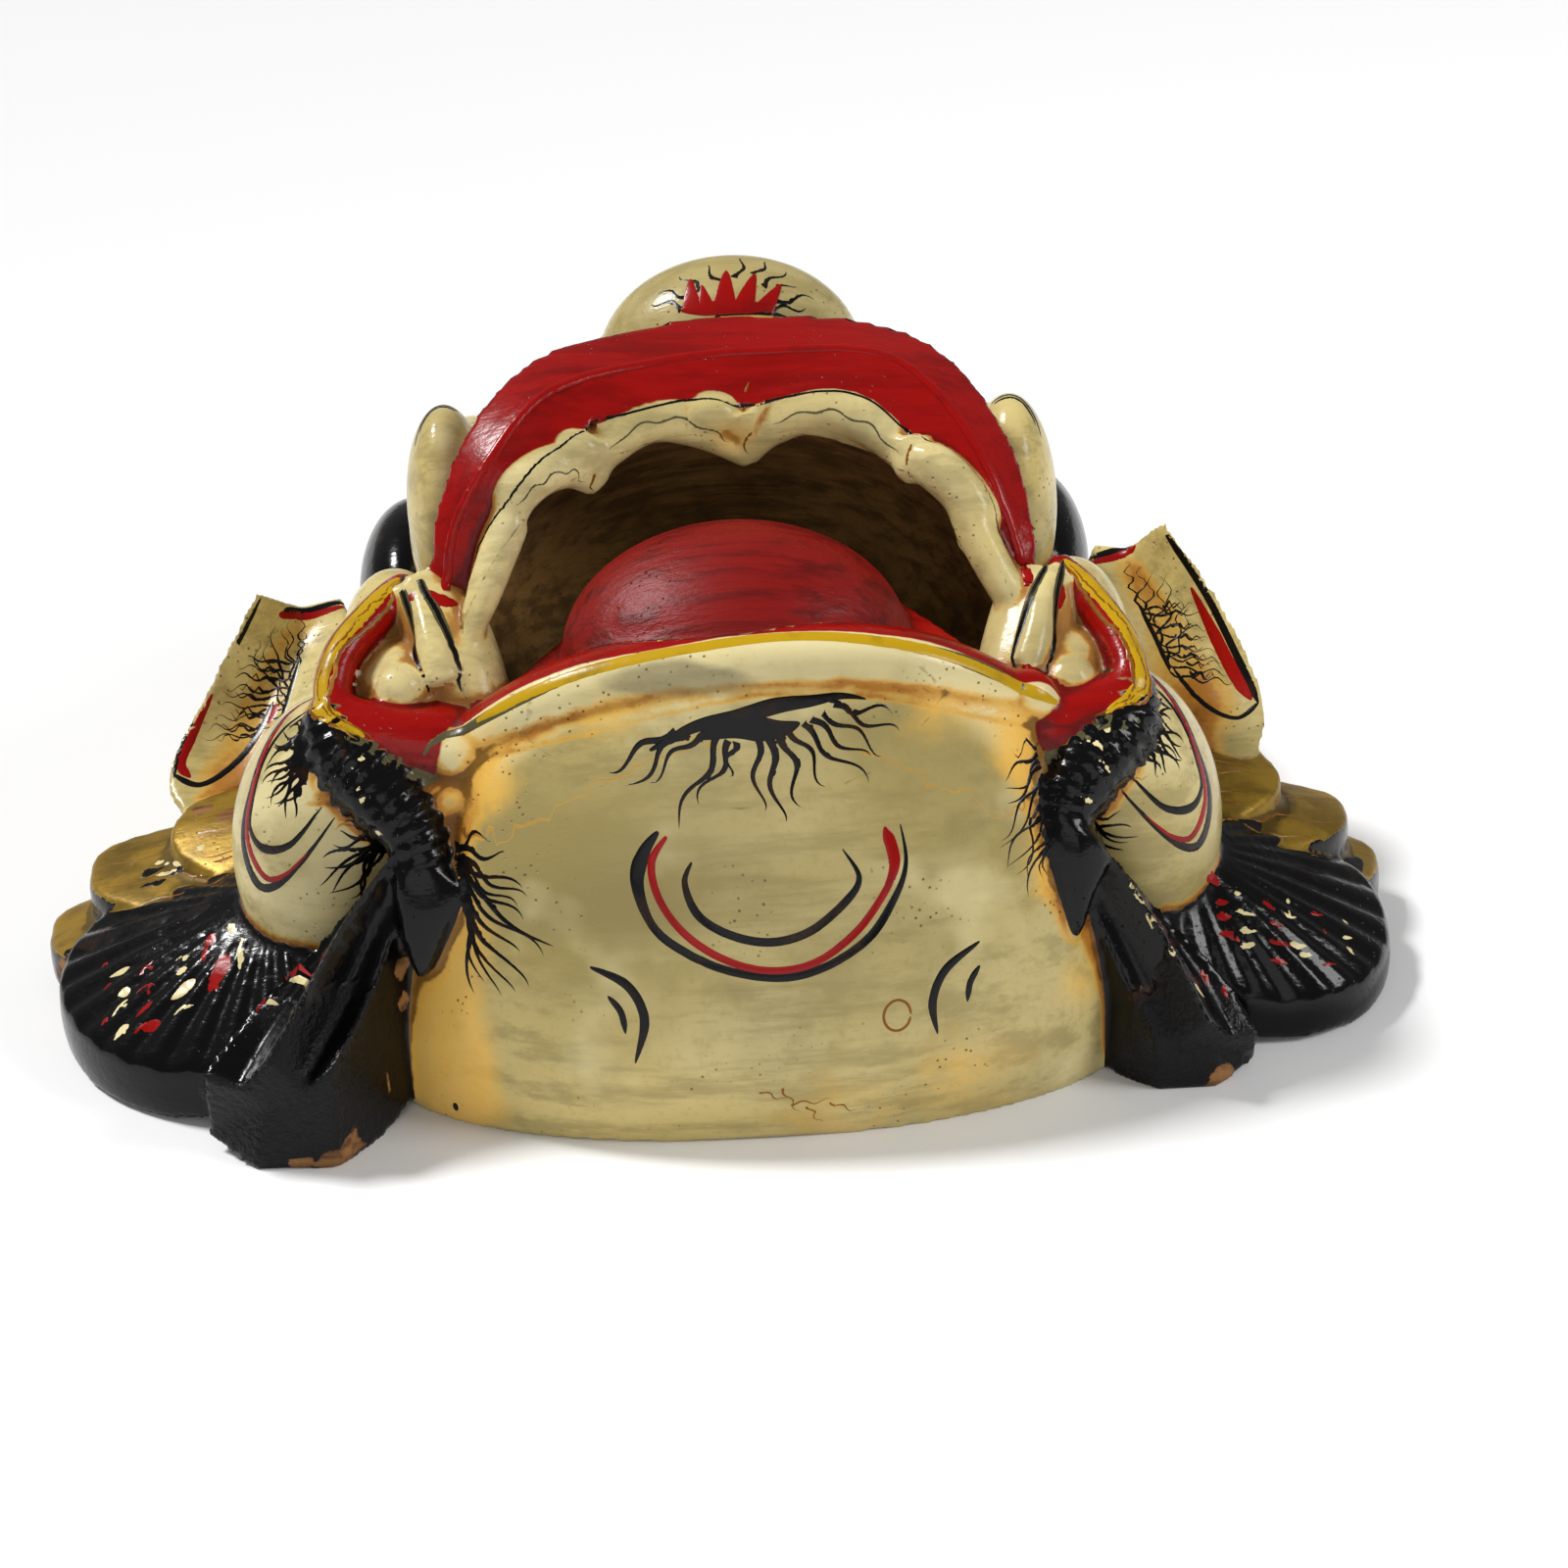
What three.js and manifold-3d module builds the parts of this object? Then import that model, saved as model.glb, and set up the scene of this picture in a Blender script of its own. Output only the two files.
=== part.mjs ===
// A carved wooden barong mask, lying face up on its rim. Units are millimetres.
// X runs across the face, Y from the chin up to the forehead, and Z out of the face.
// The carving is one piece of wood: the forms below are joined, and the hollow behind the face
// and the open mouth are cut out of them. Its two sides were cut by eye and differ a little.

import * as THREE from "three";
import { mergeVertices } from "three/addons/utils/BufferGeometryUtils.js";
import Module from "manifold-3d";

const wasm = await Module();
wasm.setup();

// ---- Driving dimensions ----

const HEAD_HALF = 114; // half the width of the head where the ears spring from it
const HEAD_HEIGHT = 98; // height of the cheeks over the rim
const HEAD_LENGTH = 340; // from the foot of the chin to the top of the forehead
const FACE_HALF = 82; // half the width of the muzzle and brow
const MUZZLE_HEIGHT = 168;
const WALL = 14; // wood left around the hollow
const CHIN_HALF = 94; // half the width of the chin at its foot
const CHIN_HEIGHT = 114; // up to the crease under the lower lip
const CHIN_LEAN = 35; // how far the crease stands behind the foot
const CHIN_FALL = 30; // how far the crease drops towards the sides
const MOUTH = { middle: [2, 90, 96], half: [80, 70, 63] };
const LIP_ROLL = 9; // radius of the lower lip
const TOOTH_ROLL = 6.5; // radius of a tooth's rolled edge
const LOBE_THICK = 13; // gilt lobes behind the hair
const ROLL_RIBS = 9; // ridges across each roll of hair

// ---- Helpers ----

const { abs, sin, cos, sign, floor, min, max, round, PI } = Math;
const clamp = (value) => min(max(value, 0), 1);
const mix = (a, b, t) => a.map((value, k) => value + (b[k] - value) * t);
const power = (value, exponent) => sign(value) * abs(value) ** exponent;
const middleOf = (points) =>
  [0, 1, 2].map((k) => points.reduce((sum, p) => sum + p[k], 0) / points.length);

// A smooth run through rows of numbers. It gives the row at t, from 0 to 1.
function run(rows, closed = false) {
  const spans = closed ? rows.length : rows.length - 1;
  const row = (i) =>
    closed ? rows[(i + rows.length) % rows.length] : rows[min(max(i, 0), rows.length - 1)];
  return (t) => {
    const place = clamp(t) * spans;
    const i = min(floor(place), spans - 1);
    const f = place - i;
    const [a, b, c, d] = [row(i - 1), row(i), row(i + 1), row(i + 2)];
    return b.map((from, k) => {
      const [leave, arrive] = [(c[k] - a[k]) / 2, (d[k] - from) / 2];
      const bend = 3 * (c[k] - from) - 2 * leave - arrive;
      const twist = 2 * (from - c[k]) + leave + arrive;
      return from + f * (leave + f * (bend + f * twist));
    });
  };
}

// A closed solid from a ball of around x along faces. place(turn, t, end) gives the point for
// turn, from 0 to 1 round the ball, and t, from 0 to 1 between the poles, where end is true.
function sculpt(around, along, place) {
  const ball = new THREE.SphereGeometry(1, around, along);
  const { position, uv } = ball.attributes;
  for (let i = 0; i < position.count; i++) {
    const ring = round((1 - uv.getY(i)) * along);
    const end = ring === 0 || ring === along;
    const turn = end ? 0 : uv.getX(i);
    position.setXYZ(i, ...place(turn, clamp((ring - 1) / (along - 2)), end));
  }
  return solid(ball);
}

// A geometry as a manifold-3d solid with its faces outwards.
function solid(geometry) {
  geometry.deleteAttribute("normal");
  geometry.deleteAttribute("uv");
  const merged = mergeVertices(geometry, 1e-4);
  const build = (triVerts) =>
    new wasm.Manifold(
      new wasm.Mesh({
        numProp: 3,
        vertProperties: merged.attributes.position.array,
        triVerts,
      }),
    );
  const faces = new Uint32Array(merged.index.array);
  const made = build(faces);
  return made.volume() > 0 ? made : build(faces.reverse());
}

// An egg with its own half sizes, turned about X, Y and Z by degrees.
function egg(middle, half, turns = [0, 0, 0], around = 9, along = 7) {
  const turned = new THREE.Euler(...turns.map(THREE.MathUtils.degToRad));
  const ball = new THREE.SphereGeometry(1, around, along);
  ball.rotateX(PI / 2);
  ball.scale(...half);
  ball.applyMatrix4(new THREE.Matrix4().makeRotationFromEuler(turned));
  ball.translate(...middle);
  return solid(ball);
}

// A body along Y from rows of [y, half width, height], arched above and flat at z = 0.
function arch(rows, middle, around, along, fullness) {
  const at = run(rows);
  return sculpt(around, along, (turn, t, end) => {
    const [y, half, height] = at(t);
    if (end) return [middle, y, height * 0.4];
    const [c, s] = [cos(2 * PI * turn), sin(2 * PI * turn)];
    if (s < 0) return [middle + half * c, y, 0];
    return [middle + half * power(c, fullness), y, height * power(s, fullness)];
  });
}

// A bar through rails, each a list of points from one end of the bar to the other.
// Its section is smooth through the rails, or has a corner on each of them.
function bar(rails, along, { sides = 1, smooth = false } = {}) {
  const at = rails.map((rail) => run(rail));
  const count = rails.length;
  return sculpt(count * sides, along, (turn, t, end) => {
    const section = at.map((rail) => rail(t));
    if (end) return middleOf(section);
    if (smooth) return run(section, true)(turn % 1);
    const place = (turn % 1) * count;
    const i = floor(place + 1e-6);
    return mix(section[i % count], section[(i + 1) % count], place - i);
  });
}

// A round bar along rows of [x, y, z, radius], its section squashed along one direction.
function roll(rows, around, along, { squash = [0, 0, 1], flat = 1, ribs = () => 0 } = {}) {
  const at = run(rows);
  const flatten = new THREE.Vector3(...squash).normalize();
  return sculpt(around, along, (turn, t, end) => {
    const [x, y, z, radius] = at(t);
    if (end) return [x, y, z];
    const [before, after] = [at(t - 0.01), at(t + 0.01)];
    const heading = new THREE.Vector3(...after).sub(new THREE.Vector3(...before)).normalize();
    const up = flatten.clone().addScaledVector(heading, -flatten.dot(heading)).normalize();
    const side = heading.clone().cross(up);
    const reach = radius * (1 + ribs(t, turn));
    return new THREE.Vector3(x, y, z)
      .addScaledVector(side, reach * cos(2 * PI * turn))
      .addScaledVector(up, reach * flat * sin(2 * PI * turn))
      .toArray();
  });
}

// A thick leaf: a front face inside a closed loop of points, an edge and a back face that lies
// off the front by back. The front swells by dome over the line from its heart to the loop, and
// ribs of the given height run out from the heart.
function leaf(loop, back, { heart = middleOf(loop), dome = 3, ribs = 0, around = 12, along = 7 }) {
  const rim = run(loop, true);
  const out = new THREE.Vector3(...back).normalize().negate();
  const frontRings = along - 3;
  return sculpt(around, along, (turn, t, end) => {
    const ring = 1 + round(t * (along - 2));
    const inFront = ring <= frontRings;
    const share = end ? 0 : inFront ? ring / frontRings : (along - ring) / 2;
    const point = new THREE.Vector3(...mix(heart, rim(turn), share));
    if (!inFront) return point.add(new THREE.Vector3(...back)).toArray();
    const ridge = ribs * cos(PI * around * turn) * share * (1.3 - share);
    return point.addScaledVector(out, dome * (1 - share ** 2) + ridge).toArray();
  });
}

const joined = (solids) => solids.reduce((whole, piece) => whole.add(piece));

// ---- Head, muzzle and chin ----

// The wide low body: cheeks, temples and forehead.
function head() {
  const rows = [
    [50, 0.86, 0.9],
    [72, 0.93, 0.98],
    [100, 0.96, 1],
    [160, 1, 0.98],
    [210, 1, 0.96],
    [255, 0.95, 0.94],
    [292, 0.8, 0.78],
    [322, 0.55, 0.52],
    [HEAD_LENGTH, 0.2, 0.16],
  ];
  const sized = rows.map(([y, half, height]) => [y, half * HEAD_HALF, height * HEAD_HEIGHT]);
  return arch(sized, 0, 20, 11, 0.62);
}

// The narrow high body: muzzle, bridge of the nose and brow.
function face() {
  const rows = [
    [108, 0.93, 0.8],
    [122, 1.02, 0.95],
    [140, 1.04, 1],
    [160, 1, 0.98],
    [182, 0.93, 0.88],
    [210, 0.92, 0.78],
    [240, 0.96, 0.74],
    [268, 0.95, 0.68],
    [298, 0.8, 0.54],
    [322, 0.5, 0.38],
  ];
  const sized = rows.map(([y, half, height]) => [y, half * FACE_HALF, height * MUZZLE_HEIGHT]);
  return arch(sized, 3, 18, 12, 0.6);
}

// The chin: a barrel that leans back from its foot to the crease under the lip. Its top falls
// away to both sides, and behind the lip it narrows to the shelf that carries the tongue.
function chin() {
  // height, half width, front, side, back and back's roundness
  const rows = [
    [0, 1, 0.15, 32, 62, 0.4],
    [0.22, 0.99, 0.05, 32, 66, 0.4],
    [0.48, 0.95, 0.2, 35, 74, 0.4],
    [0.7, 0.9, 0.43, 39, 84, 0.5],
    [0.88, 0.84, 0.74, 44, 92, 0.9],
    [0.98, 0.81, 0.9, 46, 98, 1.5],
    [1.03, 0.78, 1.03, 47, 98, 1.7],
    [1.07, 0.74, 1.25, 50, 96, 1.7],
  ];
  const at = run(rows);
  return sculpt(20, 11, (turn, t, end) => {
    const [height, half, front, side, back, roundness] = at(t);
    const [c, s] = [cos(2 * PI * turn), sin(2 * PI * turn)];
    const x = end ? 2 : 2 + half * CHIN_HALF * power(c, 0.85);
    const z = height * CHIN_HEIGHT - CHIN_FALL * height ** 2 * ((x - 8) / CHIN_HALF) ** 2;
    if (end) return [x, side, z];
    if (s > 0) return [x, side + (back - side) * s ** roundness, z];
    return [x, side + (front * CHIN_LEAN - side) * abs(s) ** 1.5, z];
  });
}

// The hollow behind the face, and the smaller one behind the nose and brow.
function hollows() {
  const low = [
    [22, 0.6, 0.5],
    [36, 0.72, 0.86],
    [60, 0.8, 0.94],
    [100, 0.84, 0.84],
    [160, 0.88, 0.84],
    [210, 0.88, 0.82],
    [255, 0.82, 0.78],
    [292, 0.66, 0.6],
    [HEAD_LENGTH - WALL, 0.3, 0.2],
  ].map(([y, half, height]) => [y, half * HEAD_HALF, height * HEAD_HEIGHT]);
  const high = [
    [166, 0.5, 0.5],
    [178, 0.68, 0.64],
    [205, 0.72, 0.68],
    [240, 0.76, 0.65],
    [266, 0.74, 0.58],
    [292, 0.56, 0.44],
    [306, 0.3, 0.28],
  ].map(([y, half, height]) => [y, half * FACE_HALF, height * MUZZLE_HEIGHT]);
  const body = arch(low, 0, 16, 10, 0.7).add(arch(high, 3, 12, 8, 0.7));
  return body.translate([0, 0, -0.5]);
}

// ---- Mouth ----

function lowerLip() {
  const rows = [
    [-80, 58, 86, LIP_ROLL - 2],
    [-66, 54, 97, LIP_ROLL],
    [-38, 49, 112, LIP_ROLL],
    [4, 46, 118, LIP_ROLL],
    [40, 48, 116, LIP_ROLL],
    [66, 53, 105, LIP_ROLL],
    [84, 57, 92, LIP_ROLL - 2],
  ];
  return roll(rows, 9, 13, { squash: [0, 1, -0.4], flat: 1.25 });
}

function tongue() {
  return egg([2, 73, 110], [46, 38, 31], [14, 0, 0], 14, 10);
}

function upperLip() {
  const top = [
    [-78, 88, 128],
    [-76, 95, 143],
    [-66, 110, 162],
    [-48, 130, 173],
    [-18, 146, 175],
    [14, 150, 175],
    [46, 149, 171],
    [66, 138, 163],
    [80, 116, 146],
    [84, 98, 128],
    [83, 91, 114],
  ];
  const crest = [
    [-74, 85, 124],
    [-71, 90, 140],
    [-60, 99, 157],
    [-44, 115, 168],
    [-14, 132, 168],
    [14, 136, 168],
    [44, 136, 166],
    [60, 124, 159],
    [73, 104, 143],
    [80, 91, 122],
    [81, 86, 111],
  ];
  const low = [
    [-67, 86, 124],
    [-62, 90, 135],
    [-54, 96, 148],
    [-38, 108, 158],
    [-12, 122, 160],
    [8, 124, 157],
    [34, 124, 160],
    [49, 117, 154],
    [66, 102, 140],
    [74, 93, 124],
    [77, 88, 111],
  ];
  const inner = low.map(([x, y, z], i) => mix([x, y, z], [top[i][0], top[i][1] + 6, top[i][2] - 16], 0.7));
  return bar([top, crest, low, inner], 22);
}

// The teeth are rolled edges: four arches between the long side teeth.
function teeth() {
  const arches = [
    [[-57, 92, 136], [-55, 97, 147], [-48, 101, 152], [-40, 105, 152], [-34, 109, 145]],
    [[-34, 108, 143], [-30, 112, 153], [-18, 119, 158], [-4, 123, 155], [8, 123, 143]],
    [[7, 123, 143], [14, 124, 154], [29, 123, 159], [43, 118, 155], [51, 109, 144]],
    [[51, 108, 144], [57, 104, 146], [65, 99, 139], [68, 95, 131], [66, 93, 125]],
  ];
  const fangs = [
    [[-55, 94, 142, 7], [-59, 87, 134, 6.5], [-64, 80, 125, 6], [-68, 74, 116, 3.5]],
    [[65, 95, 132, 7], [68, 89, 123, 6.5], [72, 82, 114, 6], [76, 76, 107, 3.5]],
  ];
  const lobes = arches.map((points) => {
    const ends = points.length - 1;
    const rows = points.map((p, i) => [...p, TOOTH_ROLL * (i === 0 || i === ends ? 0.6 : 1)]);
    return roll(rows, 6, 8, { squash: [0, 1, 0.5], flat: 1.2 });
  });
  return joined([...lobes, ...fangs.map((rows) => roll(rows, 6, 6))]);
}

// The corners of the mouth: the turned-out lips, the gums inside them and the small tusks.
function corners() {
  const lips = [
    [
      [-84, 96, 122, 5],
      [-92, 84, 119, 7],
      [-101, 70, 113, 7],
      [-101, 59, 104, 7.5],
      [-90, 56, 96, 9],
      [-76, 60, 90, 11],
      [-64, 64, 90, 8],
    ],
    [
      [88, 96, 118, 5],
      [95, 86, 113, 7],
      [102, 72, 106, 7],
      [102, 60, 99, 7.5],
      [92, 57, 91, 9],
      [80, 60, 88, 11],
      [68, 64, 90, 8],
    ],
  ];
  const pillars = [
    [[-82, 95, 120, 12], [-76, 86, 114, 12], [-71, 74, 104, 12], [-68, 64, 90, 12]],
    [[86, 93, 113, 12], [81, 82, 106, 12], [76, 71, 98, 11], [73, 61, 90, 9]],
  ];
  const tusks = [
    [[-88, 80, 118, 3], [-88, 70, 110, 8], [-86, 62, 103, 9]],
    [[92, 80, 112, 3], [91, 70, 105, 8], [89, 62, 98, 9]],
  ];
  const beds = [egg([-88, 74, 99], [17, 22, 20]), egg([88, 74, 90], [18, 23, 24])];
  const turnedOut = lips.map((rows) => roll(rows, 7, 10, { squash: [0, 1, 0], flat: 1.1 }));
  const inside = [...pillars, ...tusks].map((rows) => roll(rows, 7, 5));
  return joined([...beds, ...turnedOut, ...inside]);
}

// ---- Nose, cheeks, eyes and brows ----

// The ball of the nose, its nostrils and the bridge that runs up between the eyes.
function nose() {
  const bridge = [
    [5, 176, 140, 30],
    [5, 198, 124, 26],
    [4, 224, 106, 22],
    [3, 250, 100, 20],
  ];
  const nostrils = [-1, 1].map((side) => egg([5 + side * 31, 170, 142], [15, 18, 18], [0, 0, 0], 8, 6));
  return joined([egg([5, 172, 154], [38, 27, 30], [0, 0, 0], 14, 10), roll(bridge, 10, 6), ...nostrils]);
}

// On each side a narrow fold beside the lip runs back into the cheek, a smaller one stands over
// the corner of the mouth, and a large ball lies below it.
function cheeks() {
  const folds = [
    egg([-76, 140, 126], [12, 22, 30]),
    egg([-71, 168, 108], [20, 36, 32], [0, 0, 0], 8, 6),
    egg([82, 142, 118], [13, 22, 32]),
    egg([77, 168, 104], [20, 36, 32], [0, 0, 0], 8, 6),
    egg([-90, 98, 98], [16, 24, 27]),
    egg([-93, 124, 82], [18, 34, 26], [0, 0, 0], 8, 6),
    egg([94, 96, 92], [16, 24, 27]),
    egg([95, 124, 78], [18, 34, 26], [0, 0, 0], 8, 6),
  ];
  const balls = [
    egg([-104, 66, 58], [29, 27, 42], [8, 12, 0], 12, 9),
    egg([102, 70, 50], [29, 27, 40], [8, -12, 0], 12, 9),
  ];
  return joined([...folds, ...balls]);
}

// The eyes look up from under the brows, and the temples bulge beside them.
function eyes() {
  const solids = [];
  [-1, 1].forEach((side) => {
    solids.push(egg([3 + side * 40, 218, 112], [25, 20, 17], [0, 0, 0], 8, 6));
    const brow = [
      [3 + side * 10, 240, 112, 7],
      [3 + side * 30, 252, 119, 9],
      [3 + side * 56, 250, 110, 9],
      [3 + side * 78, 234, 92, 6],
    ];
    solids.push(roll(brow, 6, 8));
    solids.push(egg([side * 96, 212, 70], [17, 38, 26], [0, 0, 0], 8, 6));
  });
  return joined(solids);
}

// ---- Ears, gilt lobes and hair ----

// An ear is a shell, hollowed in front. Its rails are the outer edge, the hollow, the inner edge
// and the back, each from the foot of the ear up to its tip.
function ears() {
  const left = [
    [[-157, 116, 42], [-165, 134, 49], [-153, 154, 68], [-139, 172, 89]],
    [[-140, 112, 46], [-141, 136, 50], [-136, 160, 63], [-128, 178, 80]],
    [[-118, 106, 52], [-110, 130, 66], [-108, 158, 76], [-116, 187, 79]],
    [[-134, 122, 30], [-136, 152, 36], [-130, 176, 50], [-126, 192, 68]],
  ];
  const right = [
    [[148, 114, 44], [155, 134, 54], [146, 156, 75], [131, 174, 96]],
    [[130, 112, 48], [134, 138, 52], [129, 162, 66], [122, 182, 84]],
    [[112, 108, 52], [106, 132, 66], [104, 160, 78], [112, 190, 82]],
    [[126, 122, 32], [128, 152, 38], [122, 178, 52], [120, 194, 70]],
  ];
  return joined([left, right].map((rails) => bar(rails, 8, { sides: 3, smooth: true })));
}

// The gilt lobes step outwards and down behind the locks of hair.
function lobes() {
  const left = [
    [[-108, 92, 50], [-138, 86, 42], [-156, 96, 42], [-161, 111, 45], [-150, 125, 47], [-108, 126, 54]],
    [[-110, 84, 44], [-148, 79, 37], [-176, 90, 33], [-186, 109, 32], [-176, 124, 35], [-110, 124, 46]],
    [[-120, 82, 37], [-162, 77, 28], [-190, 87, 18], [-199, 105, 15], [-190, 119, 18], [-120, 120, 36]],
  ];
  const right = [
    [[106, 94, 50], [132, 88, 42], [150, 98, 42], [155, 113, 44], [144, 127, 46], [106, 126, 54]],
    [[106, 86, 44], [140, 81, 36], [166, 93, 32], [175, 111, 30], [166, 125, 31], [108, 124, 44]],
    [[118, 84, 36], [150, 79, 28], [174, 89, 19], [184, 107, 15], [176, 119, 18], [118, 120, 34]],
  ];
  const solids = [...left, ...right].map((loop) => {
    const foot = min(...loop.map((p) => p[2]));
    return leaf(loop, [0, 0, -min(LOBE_THICK, foot)], { dome: 2 });
  });
  return joined(solids);
}

// Locks of hair that spread under the gilt lobes, with ribs that run out from their root.
function fans() {
  const left = [
    [-150, 26, 17],
    [-170, 37, 16],
    [-184, 54, 17],
    [-190, 74, 20],
    [-182, 92, 26],
    [-150, 96, 36],
    [-112, 80, 46],
    [-112, 36, 36],
    [-128, 24, 24],
  ];
  const right = [
    [140, 37, 14],
    [156, 39, 14],
    [170, 50, 13],
    [179, 70, 14],
    [176, 92, 20],
    [150, 98, 34],
    [112, 80, 46],
    [106, 46, 36],
    [122, 40, 22],
  ];
  const shape = { dome: 5, ribs: 2.2, around: 24, along: 6 };
  return joined([
    leaf(left, [0, 0, -16], { heart: [-126, 64, 44], ...shape }),
    leaf(right, [0, 0, -13], { heart: [118, 66, 44], ...shape }),
  ]);
}

// The two long locks that frame the chin, each with a blunt end and grooves along it.
function locks() {
  const left = [
    [[-82, 32, 74], [-90, 27, 57], [-98, 16, 41], [-107, 3, 30]],
    [[-84, 31, 78], [-95, 26, 58], [-106, 15, 39], [-115, 3, 26]],
    [[-87, 31, 78], [-101, 24, 62], [-113, 13, 45], [-123, 3, 32]],
    [[-89, 33, 74], [-107, 28, 54], [-121, 18, 38], [-132, 4, 26]],
    [[-92, 36, 70], [-113, 30, 50], [-130, 22, 36], [-141, 7, 28]],
    [[-96, 44, 40], [-114, 40, 20], [-132, 30, 6], [-143, 14, 4]],
    [[-90, 48, 30], [-104, 40, 8], [-118, 22, 0], [-130, 3, 0]],
    [[-80, 44, 30], [-86, 36, 8], [-96, 18, 0], [-108, 2, 0]],
  ];
  const right = [
    [[82, 34, 70], [90, 33, 52], [98, 27, 34], [106, 17, 17]],
    [[85, 32, 75], [95, 31, 53], [104, 24, 34], [112, 15, 17]],
    [[88, 32, 74], [101, 31, 56], [111, 24, 39], [119, 13, 22]],
    [[90, 35, 70], [106, 34, 49], [118, 27, 32], [127, 16, 17]],
    [[94, 38, 66], [110, 36, 46], [125, 31, 29], [134, 20, 16]],
    [[98, 46, 36], [112, 44, 18], [126, 40, 6], [135, 27, 3]],
    [[92, 50, 26], [102, 46, 8], [114, 34, 0], [124, 18, 0]],
    [[80, 46, 28], [88, 40, 8], [96, 28, 0], [108, 18, 0]],
  ];
  return joined([left, right].map((rails) => bar(rails, 9)));
}

// The ridged rolls of hair below the corners of the mouth, with a tail that ends on the lock.
function hairRolls() {
  const rolls = [
    [
      [-107, 60, 100, 9],
      [-104, 50, 91, 12],
      [-95, 44, 86, 12],
      [-86, 38, 80, 10],
      [-83, 32, 68, 7],
      [-86, 26, 54, 4],
    ],
    [
      [108, 62, 96, 9],
      [104, 54, 86, 12],
      [95, 47, 82, 12],
      [87, 40, 76, 10],
      [84, 34, 66, 7],
      [87, 30, 54, 4],
    ],
  ];
  const ribs = (t) => 0.09 * cos(2 * PI * ROLL_RIBS * t) * clamp(6 * (0.85 - t));
  return joined(rolls.map((rows) => roll(rows, 6, 2 * ROLL_RIBS + 2, { ribs })));
}

// ---- The mask ----

const palate = egg(MOUTH.middle, MOUTH.half, [0, 0, 0], 17, 10);
const jaws = head().add(face()).subtract(palate).add(chin());
const features = [
  lowerLip(),
  tongue(),
  upperLip(),
  teeth(),
  corners(),
  nose(),
  cheeks(),
  eyes(),
  ears(),
  lobes(),
  fans(),
  locks(),
  hairRolls(),
];
const whole = joined([jaws, ...features]).subtract(hollows());
const carving = whole.trimByPlane([0, 0, 1], 0); // its underside lies flat

const cut = carving.getMesh();
const geometry = new THREE.BufferGeometry();
geometry.setAttribute("position", new THREE.BufferAttribute(cut.vertProperties, 3));
geometry.setIndex(new THREE.BufferAttribute(cut.triVerts, 1));
geometry.computeBoundingBox();

// The origin is the middle of the footprint, on the surface that the mask lies on.
const { min: low, max: high } = geometry.boundingBox;
geometry.translate(-(low.x + high.x) / 2, -(low.y + high.y) / 2, -low.z);

const paint = new THREE.MeshStandardMaterial({ color: 0xcdbf8e, roughness: 0.45, metalness: 0 });
const mask = new THREE.Mesh(geometry, paint);
mask.name = "mask";

const part = new THREE.Group();
part.add(mask);

export default part;
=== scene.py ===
import math
import random

import bmesh
import bpy
import numpy as np
from bpy.props import FloatProperty, FloatVectorProperty, IntProperty, PointerProperty
from mathutils import Matrix, Vector
from mathutils.bvhtree import BVHTree


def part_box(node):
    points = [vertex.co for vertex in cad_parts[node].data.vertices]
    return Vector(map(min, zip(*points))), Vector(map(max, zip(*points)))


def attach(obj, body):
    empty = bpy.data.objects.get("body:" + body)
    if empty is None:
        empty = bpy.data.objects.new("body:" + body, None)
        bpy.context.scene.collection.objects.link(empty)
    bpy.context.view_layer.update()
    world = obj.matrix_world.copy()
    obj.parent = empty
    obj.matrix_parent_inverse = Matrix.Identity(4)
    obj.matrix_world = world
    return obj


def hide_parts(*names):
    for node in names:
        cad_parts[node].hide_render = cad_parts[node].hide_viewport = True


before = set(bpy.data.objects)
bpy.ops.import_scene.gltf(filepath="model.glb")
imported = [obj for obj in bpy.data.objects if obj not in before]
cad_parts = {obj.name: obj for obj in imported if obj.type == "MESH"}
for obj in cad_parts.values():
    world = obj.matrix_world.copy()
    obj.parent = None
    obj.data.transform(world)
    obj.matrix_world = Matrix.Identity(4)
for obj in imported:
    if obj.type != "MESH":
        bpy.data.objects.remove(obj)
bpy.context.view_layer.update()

bl_info = {
    "name": "Barong Mask",
    "version": (1, 0, 0),
    "blender": (4, 5, 0),
    "location": "View3D > Sidebar > Barong Mask",
    "description": "Carves and paints a wooden barong mask around its packed solid",
    "category": "Add Mesh",
}

NODE = "mask"
MM = 0.001
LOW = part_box(NODE)[0]
TAU = 2 * math.pi
# From the carving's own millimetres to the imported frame's
SHIFT = np.array([7.594, -171.0, 0.0])
# The middle of the face in X, and how far each eye stands from it
FACE_X, EYE = 3, 40
# Readings for the paints go no further than this from an edge
FAR = 10.0
# How deep a stroke's edges lie in the wood
SINK = 0.03
# Edges bent by more than this many degrees stay sharp
SHARP = 48


# ---- Sizes and colours that a user would change ----


def length(name, description, millimetres):
    """A length in metres, with its default given in millimetres."""
    return FloatProperty(name=name, description=description, default=millimetres * MM,
                         min=0.0, unit="LENGTH", subtype="DISTANCE")


def colour(name, description, red, green, blue):
    """A colour from its red, green and blue shares of 255 as they look on a screen."""
    def linear(share):
        part = share / 255
        return part / 12.92 if part <= 0.04045 else ((part + 0.055) / 1.055) ** 2.4
    return FloatVectorProperty(name=name, description=description, subtype="COLOR", size=3,
                               min=0.0, max=1.0, default=(linear(red), linear(green), linear(blue)))


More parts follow.
